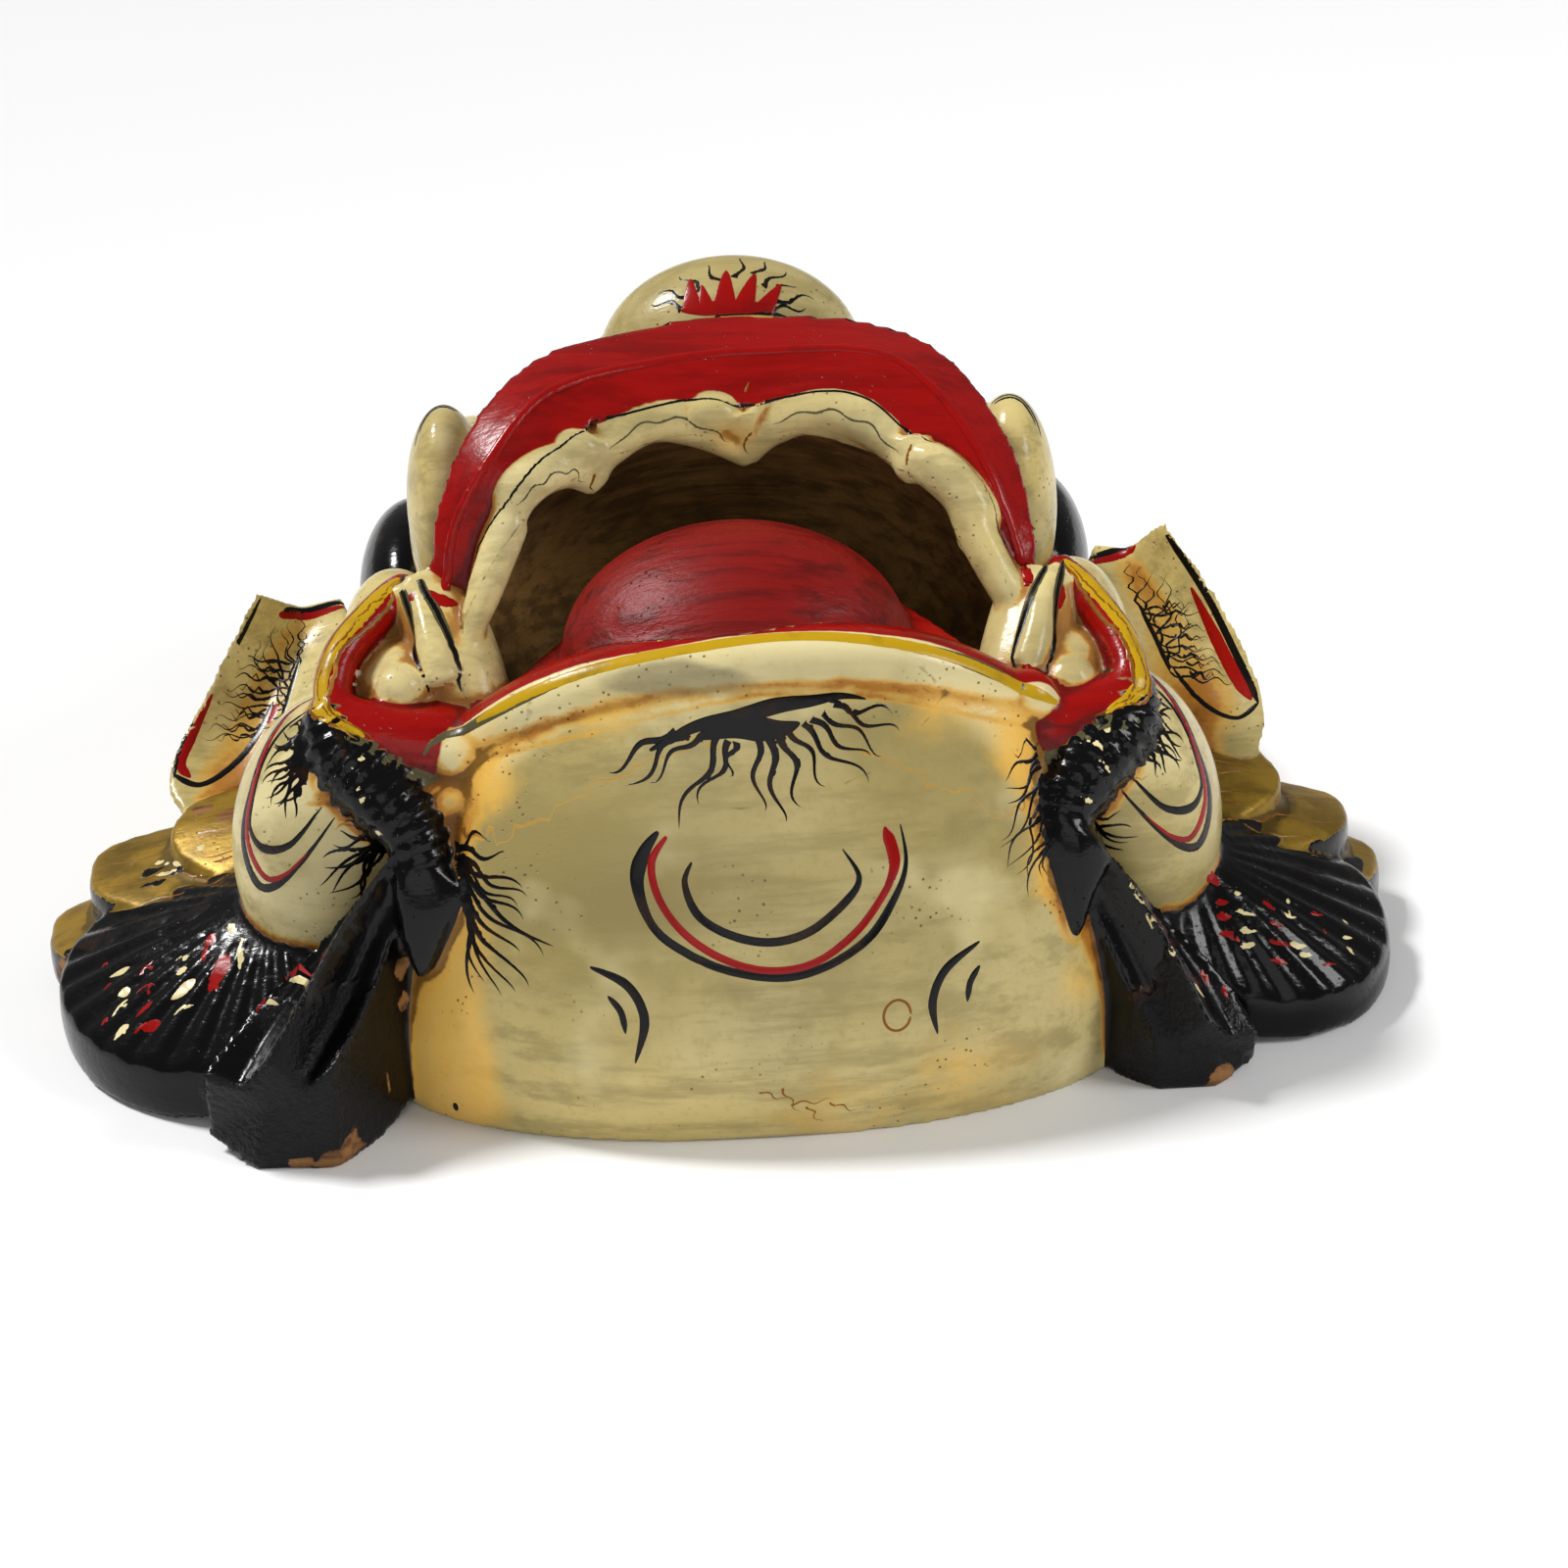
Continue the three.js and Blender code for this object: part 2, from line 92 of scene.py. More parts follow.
class MaskForm(bpy.types.PropertyGroup):
    """The driving sizes of the carving."""

    head_half: length("Head half width", "Half the width of the head where the ears spring from it", 114)
    head_height: length("Head height", "Height of the cheeks over the rim", 98)
    head_length: length("Head length", "From the foot of the chin to the top of the forehead", 340)
    face_half: length("Face half width", "Half the width of the muzzle and brow", 82)
    muzzle_height: length("Muzzle height", "Height of the muzzle over the rim", 168)
    wall: length("Wall", "Wood left around the hollow", 14)
    chin_half: length("Chin half width", "Half the width of the chin at its foot", 94)
    chin_height: length("Chin height", "Up to the crease under the lower lip", 114)
    chin_lean: length("Chin lean", "How far the crease stands behind the foot", 35)
    chin_fall: length("Chin fall", "How far the crease drops towards the sides", 30)
    lip_roll: length("Lip roll", "Radius of the lower lip", 9)
    tooth_roll: length("Tooth roll", "Half the thickness of a tooth's rolled edge", 5.4)
    lobe_thick: length("Lobe thickness", "Thickness of the gilt lobes behind the hair", 13)
    roll_ribs: IntProperty(name="Roll ribs", description="Ridges across each roll of hair", default=17,
                           min=3)
    grain: length("Carving grain", "Finest detail that the carved surface keeps", 1.25)
    triangles: IntProperty(name="Triangles", description="Triangles left on the carving",
                           default=186000, min=20000, max=195000)


class MaskPaint(bpy.types.PropertyGroup):
    """The colours of the paints and of the wood."""

    amber: colour("Amber", "Yellowed varnish round the creases", 204, 158, 66)
    cream: colour("Cream", "Aged ivory ground", 204, 184, 118)
    pale: colour("Pale cream", "Cream where it is thick and clean", 226, 212, 160)
    stain: colour("Stain", "Brown varnish stain in the creases", 160, 98, 26)
    red: colour("Red", "Glossy lip red", 146, 9, 6)
    tongue: colour("Tongue red", "Darker red of the tongue", 126, 14, 10)
    black: colour("Black", "Glossy hair black", 8, 7, 8)
    gold: colour("Gold", "Worn gilt bronze paint", 152, 120, 40)
    yellow: colour("Yellow", "Line along the lip", 186, 148, 18)
    wood: colour("Bare wood", "Wood inside the mouth and behind the face", 140, 104, 54)
    floor: colour("Floor", "Pale studio floor", 246, 246, 246)


def form():
    """The sizes in millimetres, as plain numbers."""
    group = bpy.context.scene.mask_form
    whole = ("roll_ribs", "triangles")
    return {name: getattr(group, name) if name in whole else getattr(group, name) / MM
            for name in MaskForm.__annotations__}


# ---- Shaping helpers. The carving is worked out in millimetres, face up, on the rim at z = 0 ----


def clamp(value):
    return min(max(value, 0.0), 1.0)


def power(value, exponent):
    return math.copysign(abs(value) ** exponent, value)


def mix(a, b, t):
    return [p + (q - p) * t for p, q in zip(a, b)]


def run(rows, closed=False):
    """A smooth run through rows of numbers. It gives the row at t, from 0 to 1."""
    spans = len(rows) if closed else len(rows) - 1

    def row(i):
        return rows[i % len(rows)] if closed else rows[min(max(i, 0), len(rows) - 1)]

    def at(t):
        place = clamp(t) * spans
        i = min(int(place), spans - 1)
        f = place - i
        out = []
        for a, b, c, d in zip(row(i - 1), row(i), row(i + 1), row(i + 2)):
            leave, arrive = (c - a) / 2, (d - b) / 2
            bend, twist = 3 * (c - b) - 2 * leave - arrive, 2 * (b - c) + leave + arrive
            out.append(b + f * (leave + f * (bend + f * twist)))
        return out

    return at


def sculpt(around, along, place):
    """A closed solid from a ball of around by along faces. place(turn, t, end) gives each point."""
    ball = bmesh.new()
    bmesh.ops.create_uvsphere(ball, u_segments=around, v_segments=along, radius=1.0)
    for vert in ball.verts:
        ring = round(math.acos(max(-1.0, min(1.0, vert.co.z))) / math.pi * along)
        end = ring in (0, along)
        turn = 0.0 if end else round(math.atan2(vert.co.y, vert.co.x) / TAU * around) / around % 1.0
        vert.co = place(turn, clamp((ring - 1) / (along - 2)), end)
    bmesh.ops.recalc_face_normals(ball, faces=ball.faces)
    return ball


def three_turn(turns):
    """A turn about Z first, then Y, then X, in degrees."""
    x, y, z = (Matrix.Rotation(math.radians(a), 3, axis) for a, axis in zip(turns, "XYZ"))
    return x @ y @ z


def egg(middle, half, turns=(0, 0, 0), around=40, along=28):
    """An egg with its own half sizes, turned about X, Y and Z by degrees."""
    ball = bmesh.new()
    bmesh.ops.create_uvsphere(ball, u_segments=around, v_segments=along, radius=1.0)
    bmesh.ops.scale(ball, vec=half, verts=ball.verts)
    turned = three_turn(turns)
    bmesh.ops.rotate(ball, matrix=turned, verts=ball.verts)
    bmesh.ops.translate(ball, vec=middle, verts=ball.verts)
    return ball


def arch(rows, middle, around, along, fullness):
    """A body along Y from rows of (y, half width, height), arched above and flat at z = 0."""
    at = run(rows)

    def place(turn, t, end):
        y, half, height = at(t)
        if end:
            return (middle, y, height * 0.4)
        c, s = math.cos(TAU * turn), math.sin(TAU * turn)
        if s < 0:
            return (middle + half * c, y, 0)
        return (middle + half * power(c, fullness), y, height * power(s, fullness))

    return sculpt(around, along, place)


def bar(rails, along, sides=12, smooth=False):
    """A bar through rails, each a list of points from one end of the bar to the other."""
    at = [run(rail) for rail in rails]
    count = len(rails)

    def place(turn, t, end):
        section = [rail(t) for rail in at]
        if end:
            return [sum(p[k] for p in section) / count for k in range(3)]
        if smooth:
            return run(section, True)(turn)
        spot = turn * count
        i = int(spot + 1e-6)
        return mix(section[i % count], section[(i + 1) % count], spot - i)

    return sculpt(count * sides, along, place)


def roll(rows, around=28, along=60, squash=(0, 0, 1), flat=1.0, ribs=None, fullness=1.0):
    """A round bar along rows of (x, y, z, radius), its section squashed along one direction."""
    at = run(rows)
    flatten = Vector(squash).normalized()

    def place(turn, t, end):
        x, y, z, radius = at(t)
        if end:
            return (x, y, z)
        heading = (Vector(at(t + 0.01)[:3]) - Vector(at(t - 0.01)[:3])).normalized()
        up = (flatten - heading * flatten.dot(heading)).normalized()
        side = heading.cross(up)
        reach = radius * (1 + (ribs(t, turn) if ribs else 0))
        return Vector((x, y, z)) + side * reach * power(math.cos(TAU * turn), fullness) \
            + up * reach * flat * power(math.sin(TAU * turn), fullness)

    return sculpt(around, along, place)


def leaf(loop, back, heart=None, dome=3.0, ribs=0.0, count=24, around=144, along=48):
    """A thick leaf: a front face inside a closed loop of points, a rounded edge and a back face."""
    rim = run(loop, True)
    heart = heart or [sum(p[k] for p in loop) / len(loop) for k in range(3)]
    back = Vector(back)
    out = -back.normalized()
    front, edge = 0.6, 0.8

    def place(turn, t, end):
        outer = rim(turn)
        if end:
            point = Vector(heart)
            return point + (back if t > 0.5 else out * dome)
        if t <= front:
            share = t / front
            wave = ribs * (abs(math.cos(math.pi * count * turn)) * 2 - 1) * share * (1.3 - share)
            return Vector(mix(heart, outer, share)) + out * (dome * (1 - share ** 2) + wave)
        if t <= edge:
            turned = (t - front) / (edge - front)
            return Vector(mix(heart, outer, 1 + 0.012 * math.sin(math.pi * turned))) + back * turned
        return Vector(mix(heart, outer, (1 - t) / (1 - edge))) + back

    return sculpt(around, along, place)


def joined(parts):
    """Several bmeshes as one."""
    whole = parts[0]
    for part in parts[1:]:
        lump = bpy.data.meshes.new("lump")
        part.to_mesh(lump)
        whole.from_mesh(lump)
        bpy.data.meshes.remove(lump)
        part.free()
    return whole


# ---- The forms of the carving ----


def sized(rows, half, height):
    """Rows of (y, half width, height), from shares of a full half width and height."""
    return [(y, wide * half, high * height) for y, wide, high in rows]


def head(f):
    rows = [(50, 0.86, 0.9), (72, 0.93, 0.98), (100, 0.96, 1), (160, 1, 0.98), (210, 1, 0.96),
            (255, 0.95, 0.94), (292, 0.8, 0.78), (322, 0.55, 0.52), (f["head_length"], 0.2, 0.16)]
    return arch(sized(rows, f["head_half"], f["head_height"]), 0, 96, 60, 0.62)


def face(f):
    rows = [(108, 0.93, 0.8), (122, 1.02, 0.95), (140, 1.04, 1), (160, 1, 0.98), (182, 0.93, 0.88),
            (210, 0.92, 0.78), (240, 0.96, 0.74), (268, 0.95, 0.68), (298, 0.8, 0.54), (322, 0.5, 0.38)]
    return arch(sized(rows, f["face_half"], f["muzzle_height"]), FACE_X, 96, 60, 0.6)


def palate():
    return egg((2, 90, 96), (80, 70, 63), around=64, along=40)


def chin(f):
    """A barrel that leans back from its foot to the crease under the lip."""
    # Share of the height, of the half width and of the lean, then the side, the back and its roundness
    rows = [(0, 1, 0.15, 32, 62, 0.4), (0.22, 0.99, 0.03, 32, 66, 0.4), (0.45, 0.95, 0.15, 35, 74, 0.4),
            (0.55, 0.935, 0.29, 36, 77, 0.42), (0.7, 0.9, 0.43, 39, 84, 0.5),
            (0.88, 0.84, 0.74, 44, 92, 0.9),
            (0.98, 0.81, 0.9, 46, 98, 1.5), (1.03, 0.78, 1.03, 47, 98, 1.7),
            (1.07, 0.74, 1.25, 50, 96, 1.7)]
    at = run(rows)

    def place(turn, t, end):
        height, half, front, side, back, roundness = at(t)
        c, s = math.cos(TAU * turn), math.sin(TAU * turn)
        x = 2 if end else 2 + half * f["chin_half"] * power(c, 0.85)
        fall = f["chin_fall"] * height ** 2 * ((x - 8) / f["chin_half"]) ** 2
        z = height * f["chin_height"] - fall
        if end:
            return (x, side, z)
        if s > 0:
            return (x, side + (back - side) * s ** roundness, z)
        return (x, side + (front * f["chin_lean"] - side) * abs(s) ** 1.5, z)

    return sculpt(120, 64, place)


def hollows(f):
    """The hollow behind the face, and the smaller one behind the nose and brow."""
    low = [(22, 0.6, 0.5), (36, 0.72, 0.86), (60, 0.8, 0.94), (100, 0.84, 0.84), (160, 0.88, 0.84),
           (210, 0.88, 0.82), (255, 0.82, 0.78), (292, 0.66, 0.6), (f["head_length"] - f["wall"], 0.3, 0.2)]
    high = [(166, 0.5, 0.5), (178, 0.68, 0.64), (205, 0.72, 0.68), (240, 0.76, 0.65), (266, 0.74, 0.58),
            (292, 0.56, 0.44), (306, 0.3, 0.28)]
    cuts = [arch(sized(low, f["head_half"], f["head_height"]), 0, 64, 40, 0.7),
            arch(sized(high, f["face_half"], f["muzzle_height"]), FACE_X, 48, 32, 0.7)]
    for cut in cuts:
        bmesh.ops.translate(cut, vec=(0, 0, -0.5), verts=cut.verts)
    return cuts


def lower_lip(f):
    r = f["lip_roll"]
    rows = [(-80, 59, 86, r - 5), (-66, 54, 97, r - 1.5), (-38, 49, 112, r), (4, 46, 118, r),
            (40, 48, 116, r),
            (66, 53, 105, r - 1.5), (84, 60, 91, r - 5)]
    return roll(rows, 32, 90, squash=(0, 1, -0.4), flat=1.25)


def tongue():
    return egg((2, 73, 110), (46, 38, 31), (14, 0, 0), 64, 44)


LIP_TOP = [(-78, 88, 128), (-76, 95, 143), (-66, 110, 162), (-48, 130, 173), (-18, 146, 175),
           (14, 150, 175),
           (46, 149, 171), (66, 138, 163), (80, 116, 146), (84, 98, 128), (83, 91, 114)]
LIP_CREST = [(-74, 85, 124), (-71, 89, 141), (-60, 97, 158), (-44, 113, 170), (-14, 129, 171),
             (14, 133, 171),
             (44, 133, 169), (60, 122, 161), (73, 103, 144), (80, 91, 122), (81, 86, 111)]
LIP_LOW = [(-67, 86, 124), (-62, 90, 135), (-54, 95, 149), (-38, 105, 160), (-12, 117, 164), (8, 119, 161),
           (34, 119, 164), (49, 113, 156), (66, 101, 141), (74, 93, 124), (77, 88, 111)]


def upper_lip():
    inner = [mix(low, (top[0], top[1] + 6, top[2] - 16), 0.7) for low, top in zip(LIP_LOW, LIP_TOP)]
    return bar([LIP_TOP, LIP_CREST, LIP_LOW, inner], 110, sides=10)


def teeth(f):
    """Rolled edges: four arches between the long side teeth."""
    arches = [
        [(-57, 92, 136), (-55, 96, 146), (-48, 100, 151), (-40, 105, 151), (-33, 108, 144)],
        [(-34, 107, 145), (-31, 111, 153), (-18, 117, 158), (-4, 121, 154), (9, 122, 144)],
        [(7, 122, 144), (14, 122, 153), (27, 121, 157), (41, 117, 154), (51, 109, 145)],
        [(51, 108, 145), (57, 104, 146), (65, 99, 139), (68, 95, 131), (66, 93, 125)],
    ]
    fangs = [
        [(-56, 93, 141, 5.5), (-60, 87, 133, 5.2), (-64, 80, 125, 4.6), (-68, 73, 115, 2.4)],
        [(67, 95, 132, 5.5), (71, 89, 124, 5.2), (77, 82, 114, 4.6), (83, 75, 106, 2.4)],
    ]
    parts = []
    for points in arches:
        ends = (0, len(points) - 1)
        rows = [(*p, f["tooth_roll"] * (0.6 if i in ends else 1)) for i, p in enumerate(points)]
        parts.append(roll(rows, 28, 50, squash=(0, 0.5, 0.87), flat=1.15, fullness=0.85))
    points = [[(6, 124, 156, 10), (8, 122, 150, 5.5), (8, 120, 145, 2.5)],
              [(-36, 109, 151, 9), (-34, 107, 147, 5), (-34, 106, 144, 2.5)],
              [(52, 112, 150, 6), (52, 106, 144, 5), (52, 104, 141, 2)]]
    fills = [egg((-2, 120, 158), (9, 6, 6)), egg((-39, 106, 155), (8, 5, 6))]
    return parts + fills + [roll(rows, 24, 30) for rows in fangs + points]


CORNER_LIPS = [
    [(-85, 96, 123, 4), (-93, 84, 120, 5), (-102, 71, 114, 5), (-103, 60, 105, 5.5), (-91, 55, 99, 8),
     (-77, 56, 94, 11), (-64, 60, 93, 9)],
    [(89, 96, 119, 4), (96, 86, 114, 5), (103, 72, 107, 5), (104, 60, 100, 5.5), (93, 56, 94, 8),
     (81, 56, 91, 11), (68, 60, 92, 9)],
]


def corner_lips():
    return [roll(rows, 28, 60, squash=(0, 1, 0), flat=1.1) for rows in CORNER_LIPS]


def gums():
    pillars = [
        [(-82, 95, 120, 12), (-76, 86, 114, 12), (-71, 74, 104, 12), (-68, 64, 90, 12)],
        [(86, 93, 113, 12), (81, 82, 106, 12), (76, 71, 98, 11), (73, 61, 90, 9)],
    ]
    beds = [egg((-86, 76, 97), (15, 20, 18)), egg((88, 76, 88), (16, 21, 22))]
    return beds + [roll(rows, 24, 30) for rows in pillars]


def tusks():
    rows = [
        [(-84, 92, 126, 2), (-80, 81, 122, 3.4), (-77, 70, 115, 4.6), (-74, 64, 108, 5)],
        [(89, 90, 121, 2), (84, 79, 117, 3.4), (81, 70, 110, 4.6), (78, 64, 104, 5)],
    ]
    bumps = [egg((-86, 64, 108), (7, 7, 6)), egg((89, 63, 101), (7, 7, 6))]
    return bumps + [roll(points, 24, 30) for points in rows]


def nose():
    """The ball of the nose, its nostrils and the bridge that runs up between the eyes."""
    bridge = [(5, 176, 140, 30), (5, 198, 124, 26), (4, 224, 106, 22), (3, 250, 100, 20)]
    nostrils = [egg((5 + side * 34, 171, 144), (17, 18, 18)) for side in (-1, 1)]
    return [egg((5, 172, 154), (38, 27, 30)), roll(bridge, 32, 40)] + nostrils


def cheeks():
    """A fold beside the lip, a smaller one over the mouth's corner and a large ball below it."""
    return [
        egg((-76, 140, 126), (12, 22, 30)), egg((-71, 168, 108), (20, 36, 32)),
        egg((82, 142, 118), (13, 22, 32)), egg((77, 168, 104), (20, 36, 32)),
        egg((-90, 98, 98), (16, 24, 27)), egg((-93, 124, 82), (18, 34, 26)),
        egg((94, 96, 92), (16, 24, 27)), egg((95, 124, 78), (18, 34, 26)),
        egg((-107, 67, 62), (29, 28, 44), (6, 8, 0), 72, 48),
        egg((103, 70, 58), (28, 28, 44), (6, -8, 0), 72, 48),
        egg((-69, 50, 92), (12, 8, 11)), egg((-76, 46, 83), (12, 8, 8)), egg((-77, 43, 74), (9, 8, 8)),
        egg((76, 54, 98), (10, 8, 10)), egg((80, 52, 88), (10, 8, 9)),
    ]


def eyes():
    return [egg((FACE_X + side * EYE, 218, 112), (25, 20, 17)) for side in (-1, 1)]


def brows():
    parts = []
    for side in (-1, 1):
        rows = [(FACE_X + side * x, y, z, radius)
                for x, y, z, radius in ((10, 240, 112, 7), (30, 252, 119, 9), (56, 250, 110, 9),
                                        (78, 234, 92, 6))]
        parts += [roll(rows, 24, 40), egg((side * 96, 212, 70), (17, 38, 26))]
    return parts


def ears():
    """Shells, hollowed in front: outer edge, hollow, inner edge and back, from foot to tip."""
    left = [
        [(-157, 116, 42), (-165, 134, 49), (-153, 154, 68), (-139, 172, 89)],
        [(-140, 112, 46), (-141, 136, 50), (-136, 160, 63), (-128, 178, 80)],
        [(-118, 106, 52), (-110, 130, 66), (-108, 158, 76), (-116, 187, 79)],
        [(-134, 122, 30), (-136, 152, 36), (-130, 176, 50), (-126, 192, 68)],
    ]
    right = [
        [(148, 114, 44), (155, 134, 54), (146, 156, 75), (131, 174, 96)],
        [(130, 112, 48), (134, 138, 52), (129, 162, 66), (122, 182, 84)],
        [(112, 108, 52), (106, 132, 66), (104, 160, 78), (112, 190, 82)],
        [(126, 122, 32), (128, 152, 38), (122, 178, 52), (120, 194, 70)],
    ]
    return [bar(rails, 60, sides=16, smooth=True) for rails in (left, right)]


LOBES = [
    [(-108, 92, 50), (-138, 86, 42), (-156, 96, 42), (-161, 111, 45), (-150, 125, 47), (-108, 126, 54)],
    [(-110, 84, 44), (-148, 79, 37), (-176, 90, 33), (-186, 109, 32), (-176, 124, 35), (-110, 124, 46)],
    [(-120, 82, 37), (-162, 77, 28), (-190, 87, 18), (-199, 105, 15), (-190, 119, 18), (-120, 120, 36)],
    [(106, 94, 50), (132, 88, 42), (150, 98, 42), (155, 113, 44), (144, 127, 46), (106, 126, 54)],
    [(106, 86, 44), (140, 81, 36), (166, 93, 32), (175, 111, 30), (166, 125, 31), (108, 124, 44)],
    [(118, 84, 36), (150, 79, 28), (174, 89, 19), (184, 107, 15), (176, 119, 18), (118, 120, 34)],
]


def lobes(f):
    """The gilt lobes step outwards and down behind the locks of hair."""
    return [leaf(loop, (0, 0, -min(f["lobe_thick"], min(p[2] for p in loop))), dome=2, around=96, along=36)
            for loop in LOBES]


def fans():
    """Locks of hair that spread under the gilt lobes, with ribs that run out from their root."""
    left = [(-150, 26, 17), (-170, 37, 16), (-184, 54, 17), (-190, 74, 20), (-182, 92, 26), (-150, 96, 36),
            (-112, 80, 46), (-112, 36, 36), (-128, 24, 24)]
    right = [(140, 37, 14), (156, 39, 14), (170, 50, 13), (179, 70, 14), (176, 92, 20), (150, 98, 34),
             (112, 80, 46), (106, 46, 36), (122, 40, 22)]
    shape = {"dome": 5, "ribs": 2.2, "count": 18, "around": 220, "along": 60}
    return [leaf(left, (0, 0, -16), heart=(-126, 64, 44), **shape),
            leaf(right, (0, 0, -13), heart=(118, 66, 44), **shape)]


def locks():
    """The two long locks that frame the chin, each with a blunt end and grooves along it."""
    left = [
        [(-82, 32, 74), (-90, 27, 57), (-98, 16, 41), (-107, 3, 30)],
        [(-84, 32, 76), (-96, 29, 55), (-107, 18, 36), (-115, 4, 24)],
        [(-87, 30, 80), (-101, 23, 64), (-113, 12, 47), (-123, 3, 33)],
        [(-89, 34, 72), (-107, 31, 51), (-121, 21, 35), (-132, 5, 24)],
        [(-92, 36, 70), (-113, 30, 50), (-130, 22, 36), (-141, 7, 28)],
        [(-96, 44, 40), (-114, 40, 20), (-132, 30, 6), (-143, 14, 4)],
        [(-90, 48, 30), (-104, 40, 8), (-118, 22, 0), (-130, 3, 0)],
        [(-80, 44, 30), (-86, 36, 8), (-96, 18, 0), (-108, 2, 0)],
    ]
    right = [
        [(82, 34, 70), (90, 33, 52), (98, 27, 34), (106, 17, 17)],
        [(85, 33, 72), (95, 34, 50), (104, 27, 31), (112, 16, 15)],
        [(88, 31, 76), (101, 30, 58), (111, 23, 41), (119, 13, 24)],
        [(90, 36, 68), (106, 37, 46), (118, 30, 29), (127, 17, 15)],
        [(94, 38, 66), (110, 36, 46), (125, 31, 29), (134, 20, 16)],
        [(98, 46, 36), (112, 44, 18), (126, 40, 6), (135, 27, 3)],
        [(92, 50, 26), (102, 46, 8), (114, 34, 0), (124, 18, 0)],
        [(80, 46, 28), (88, 40, 8), (96, 28, 0), (108, 18, 0)],
    ]
    return [bar(rails, 70, sides=10) for rails in (left, right)]


def hair_rolls(f):
    """The ridged rolls of hair below the corners of the mouth, with a tail that ends on the lock."""
    rolls = [
        [(-105, 60, 105, 6), (-102, 52, 96, 9), (-93, 45, 88, 9.5), (-85, 39, 81, 8.5), (-81, 33, 70, 6.5),
         (-83, 30, 62, 5)],
        [(105, 62, 101, 6), (102, 54, 91, 9), (93, 47, 84, 9.5), (86, 41, 77, 8.5), (83, 35, 67, 6.5),
         (86, 32, 60, 5)],
    ]

    def ribs(t, turn):
        return 0.13 * math.cos(TAU * (f["roll_ribs"] * t + 0.5 * turn)) * clamp(6 * (0.92 - t))

    flaps = [[(-88, 27, 72), (-79, 28, 74), (-72, 27, 66), (-76, 25, 56), (-84, 23, 43), (-88, 24, 56)],
             [(80, 30, 72), (88, 29, 74), (95, 30, 65), (91, 27, 54), (87, 26, 44), (82, 28, 56)]]
    return [roll(rows, 48, 170, ribs=ribs) for rows in rolls] \
        + [leaf(loop, (0, 10, 0), dome=2.5, around=64, along=30) for loop in flaps]


# ---- Joining, hollowing and thinning the carving ----


def object_of(parts, name):
    """An object from bmeshes, linked to the scene, in millimetres."""
    whole = joined(parts)
    data = bpy.data.meshes.new(name)
    whole.to_mesh(data)
    whole.free()
    made = bpy.data.objects.new(name, data)
    bpy.context.scene.collection.objects.link(made)
    return made


def apply(made, kind, **settings):
    """One modifier, set and applied."""
    modifier = made.modifiers.new("step", kind)
    for key, value in settings.items():
        setattr(modifier, key, value)
    shaped = bpy.data.meshes.new_from_object(made.evaluated_get(bpy.context.evaluated_depsgraph_get()))
    made.modifiers.clear()
    old, made.data = made.data, shaped
    bpy.data.meshes.remove(old)


def discard(made):
    data = made.data
    bpy.data.objects.remove(made)
    bpy.data.meshes.remove(data)


def boolean(made, parts, operation):
    """Joins closed solids to the object, or cuts them out of it."""
    for part in parts:
        tool = object_of([part], "tool")
        apply(made, "BOOLEAN", object=tool, operation=operation, solver="MANIFOLD")
        discard(tool)


def coordinates(data):
    points = np.zeros(len(data.vertices) * 3, np.float32)
    data.vertices.foreach_get("co", points)
    return points.reshape(-1, 3).astype(float)


def tree_of(parts):
    """A tree that finds the nearest spot on several bmeshes."""
    whole = bmesh.new()
    lump = bpy.data.meshes.new("lump")
    for part in parts:
        part.to_mesh(lump)
        whole.from_mesh(lump)
        lump.clear_geometry()
    bpy.data.meshes.remove(lump)
    tree = BVHTree.FromBMesh(whole)
    whole.free()
    return tree


def carve(f):
    """The whole carving as one object in millimetres, and the forms that each paint covers."""
    zones = {
        "cream": [head(f), face(f), chin(f), lower_lip(f), *cheeks(), *nose(), *eyes(), *ears()],
        "red": [upper_lip(), *corner_lips()],
        "black": [*brows(), *fans(), *locks(), *hair_rolls(f)],
        "gold": lobes(f),
        "tooth": [*teeth(f), *gums(), *tusks()],
        "tongue": [tongue()],
    }
    trees = {zone: tree_of(parts) for zone, parts in zones.items()}
    trees["wood"] = tree_of([palate(), *hollows(f)])

    made = object_of([zones["cream"].pop(0)], "carving")
    boolean(made, [zones["cream"].pop(0)], "UNION")
    boolean(made, [palate()], "DIFFERENCE")
    more = object_of([part for parts in zones.values() for part in parts], "more")
    whole = bmesh.new()
    whole.from_mesh(made.data)
    whole.from_mesh(more.data)
    whole.to_mesh(made.data)
    whole.free()
    discard(more)
    apply(made, "REMESH", mode="VOXEL", voxel_size=f["grain"], use_smooth_shade=True)
    apply(made, "SMOOTH", factor=0.5, iterations=3)
    boolean(made, hollows(f), "DIFFERENCE")
    count = sum(len(p.vertices) - 2 for p in made.data.polygons)
    apply(made, "DECIMATE", ratio=min(1.0, f["triangles"] / count), use_collapse_triangulate=True)
    return made, trees


# ---- Where each paint lies ----


def nearest(tree, spots):
    return np.array([tree.find_nearest(Vector(spot))[3] for spot in spots])


def relax(data, spots, rounds):
    """The points after some rounds of averaging with their neighbours."""
    ends = np.zeros(len(data.edges) * 2, np.int64)
    data.edges.foreach_get("vertices", ends)
    ends = ends.reshape(-1, 2)
    starts, stops = np.concatenate([ends[:, 0], ends[:, 1]]), np.concatenate([ends[:, 1], ends[:, 0]])
    shares = np.maximum(np.bincount(starts, minlength=len(spots)), 1)
    for _ in range(rounds):
        spots = np.stack([np.bincount(starts, spots[stops, k], len(spots)) for k in range(3)],
                         1) / shares[:, None]
    return spots


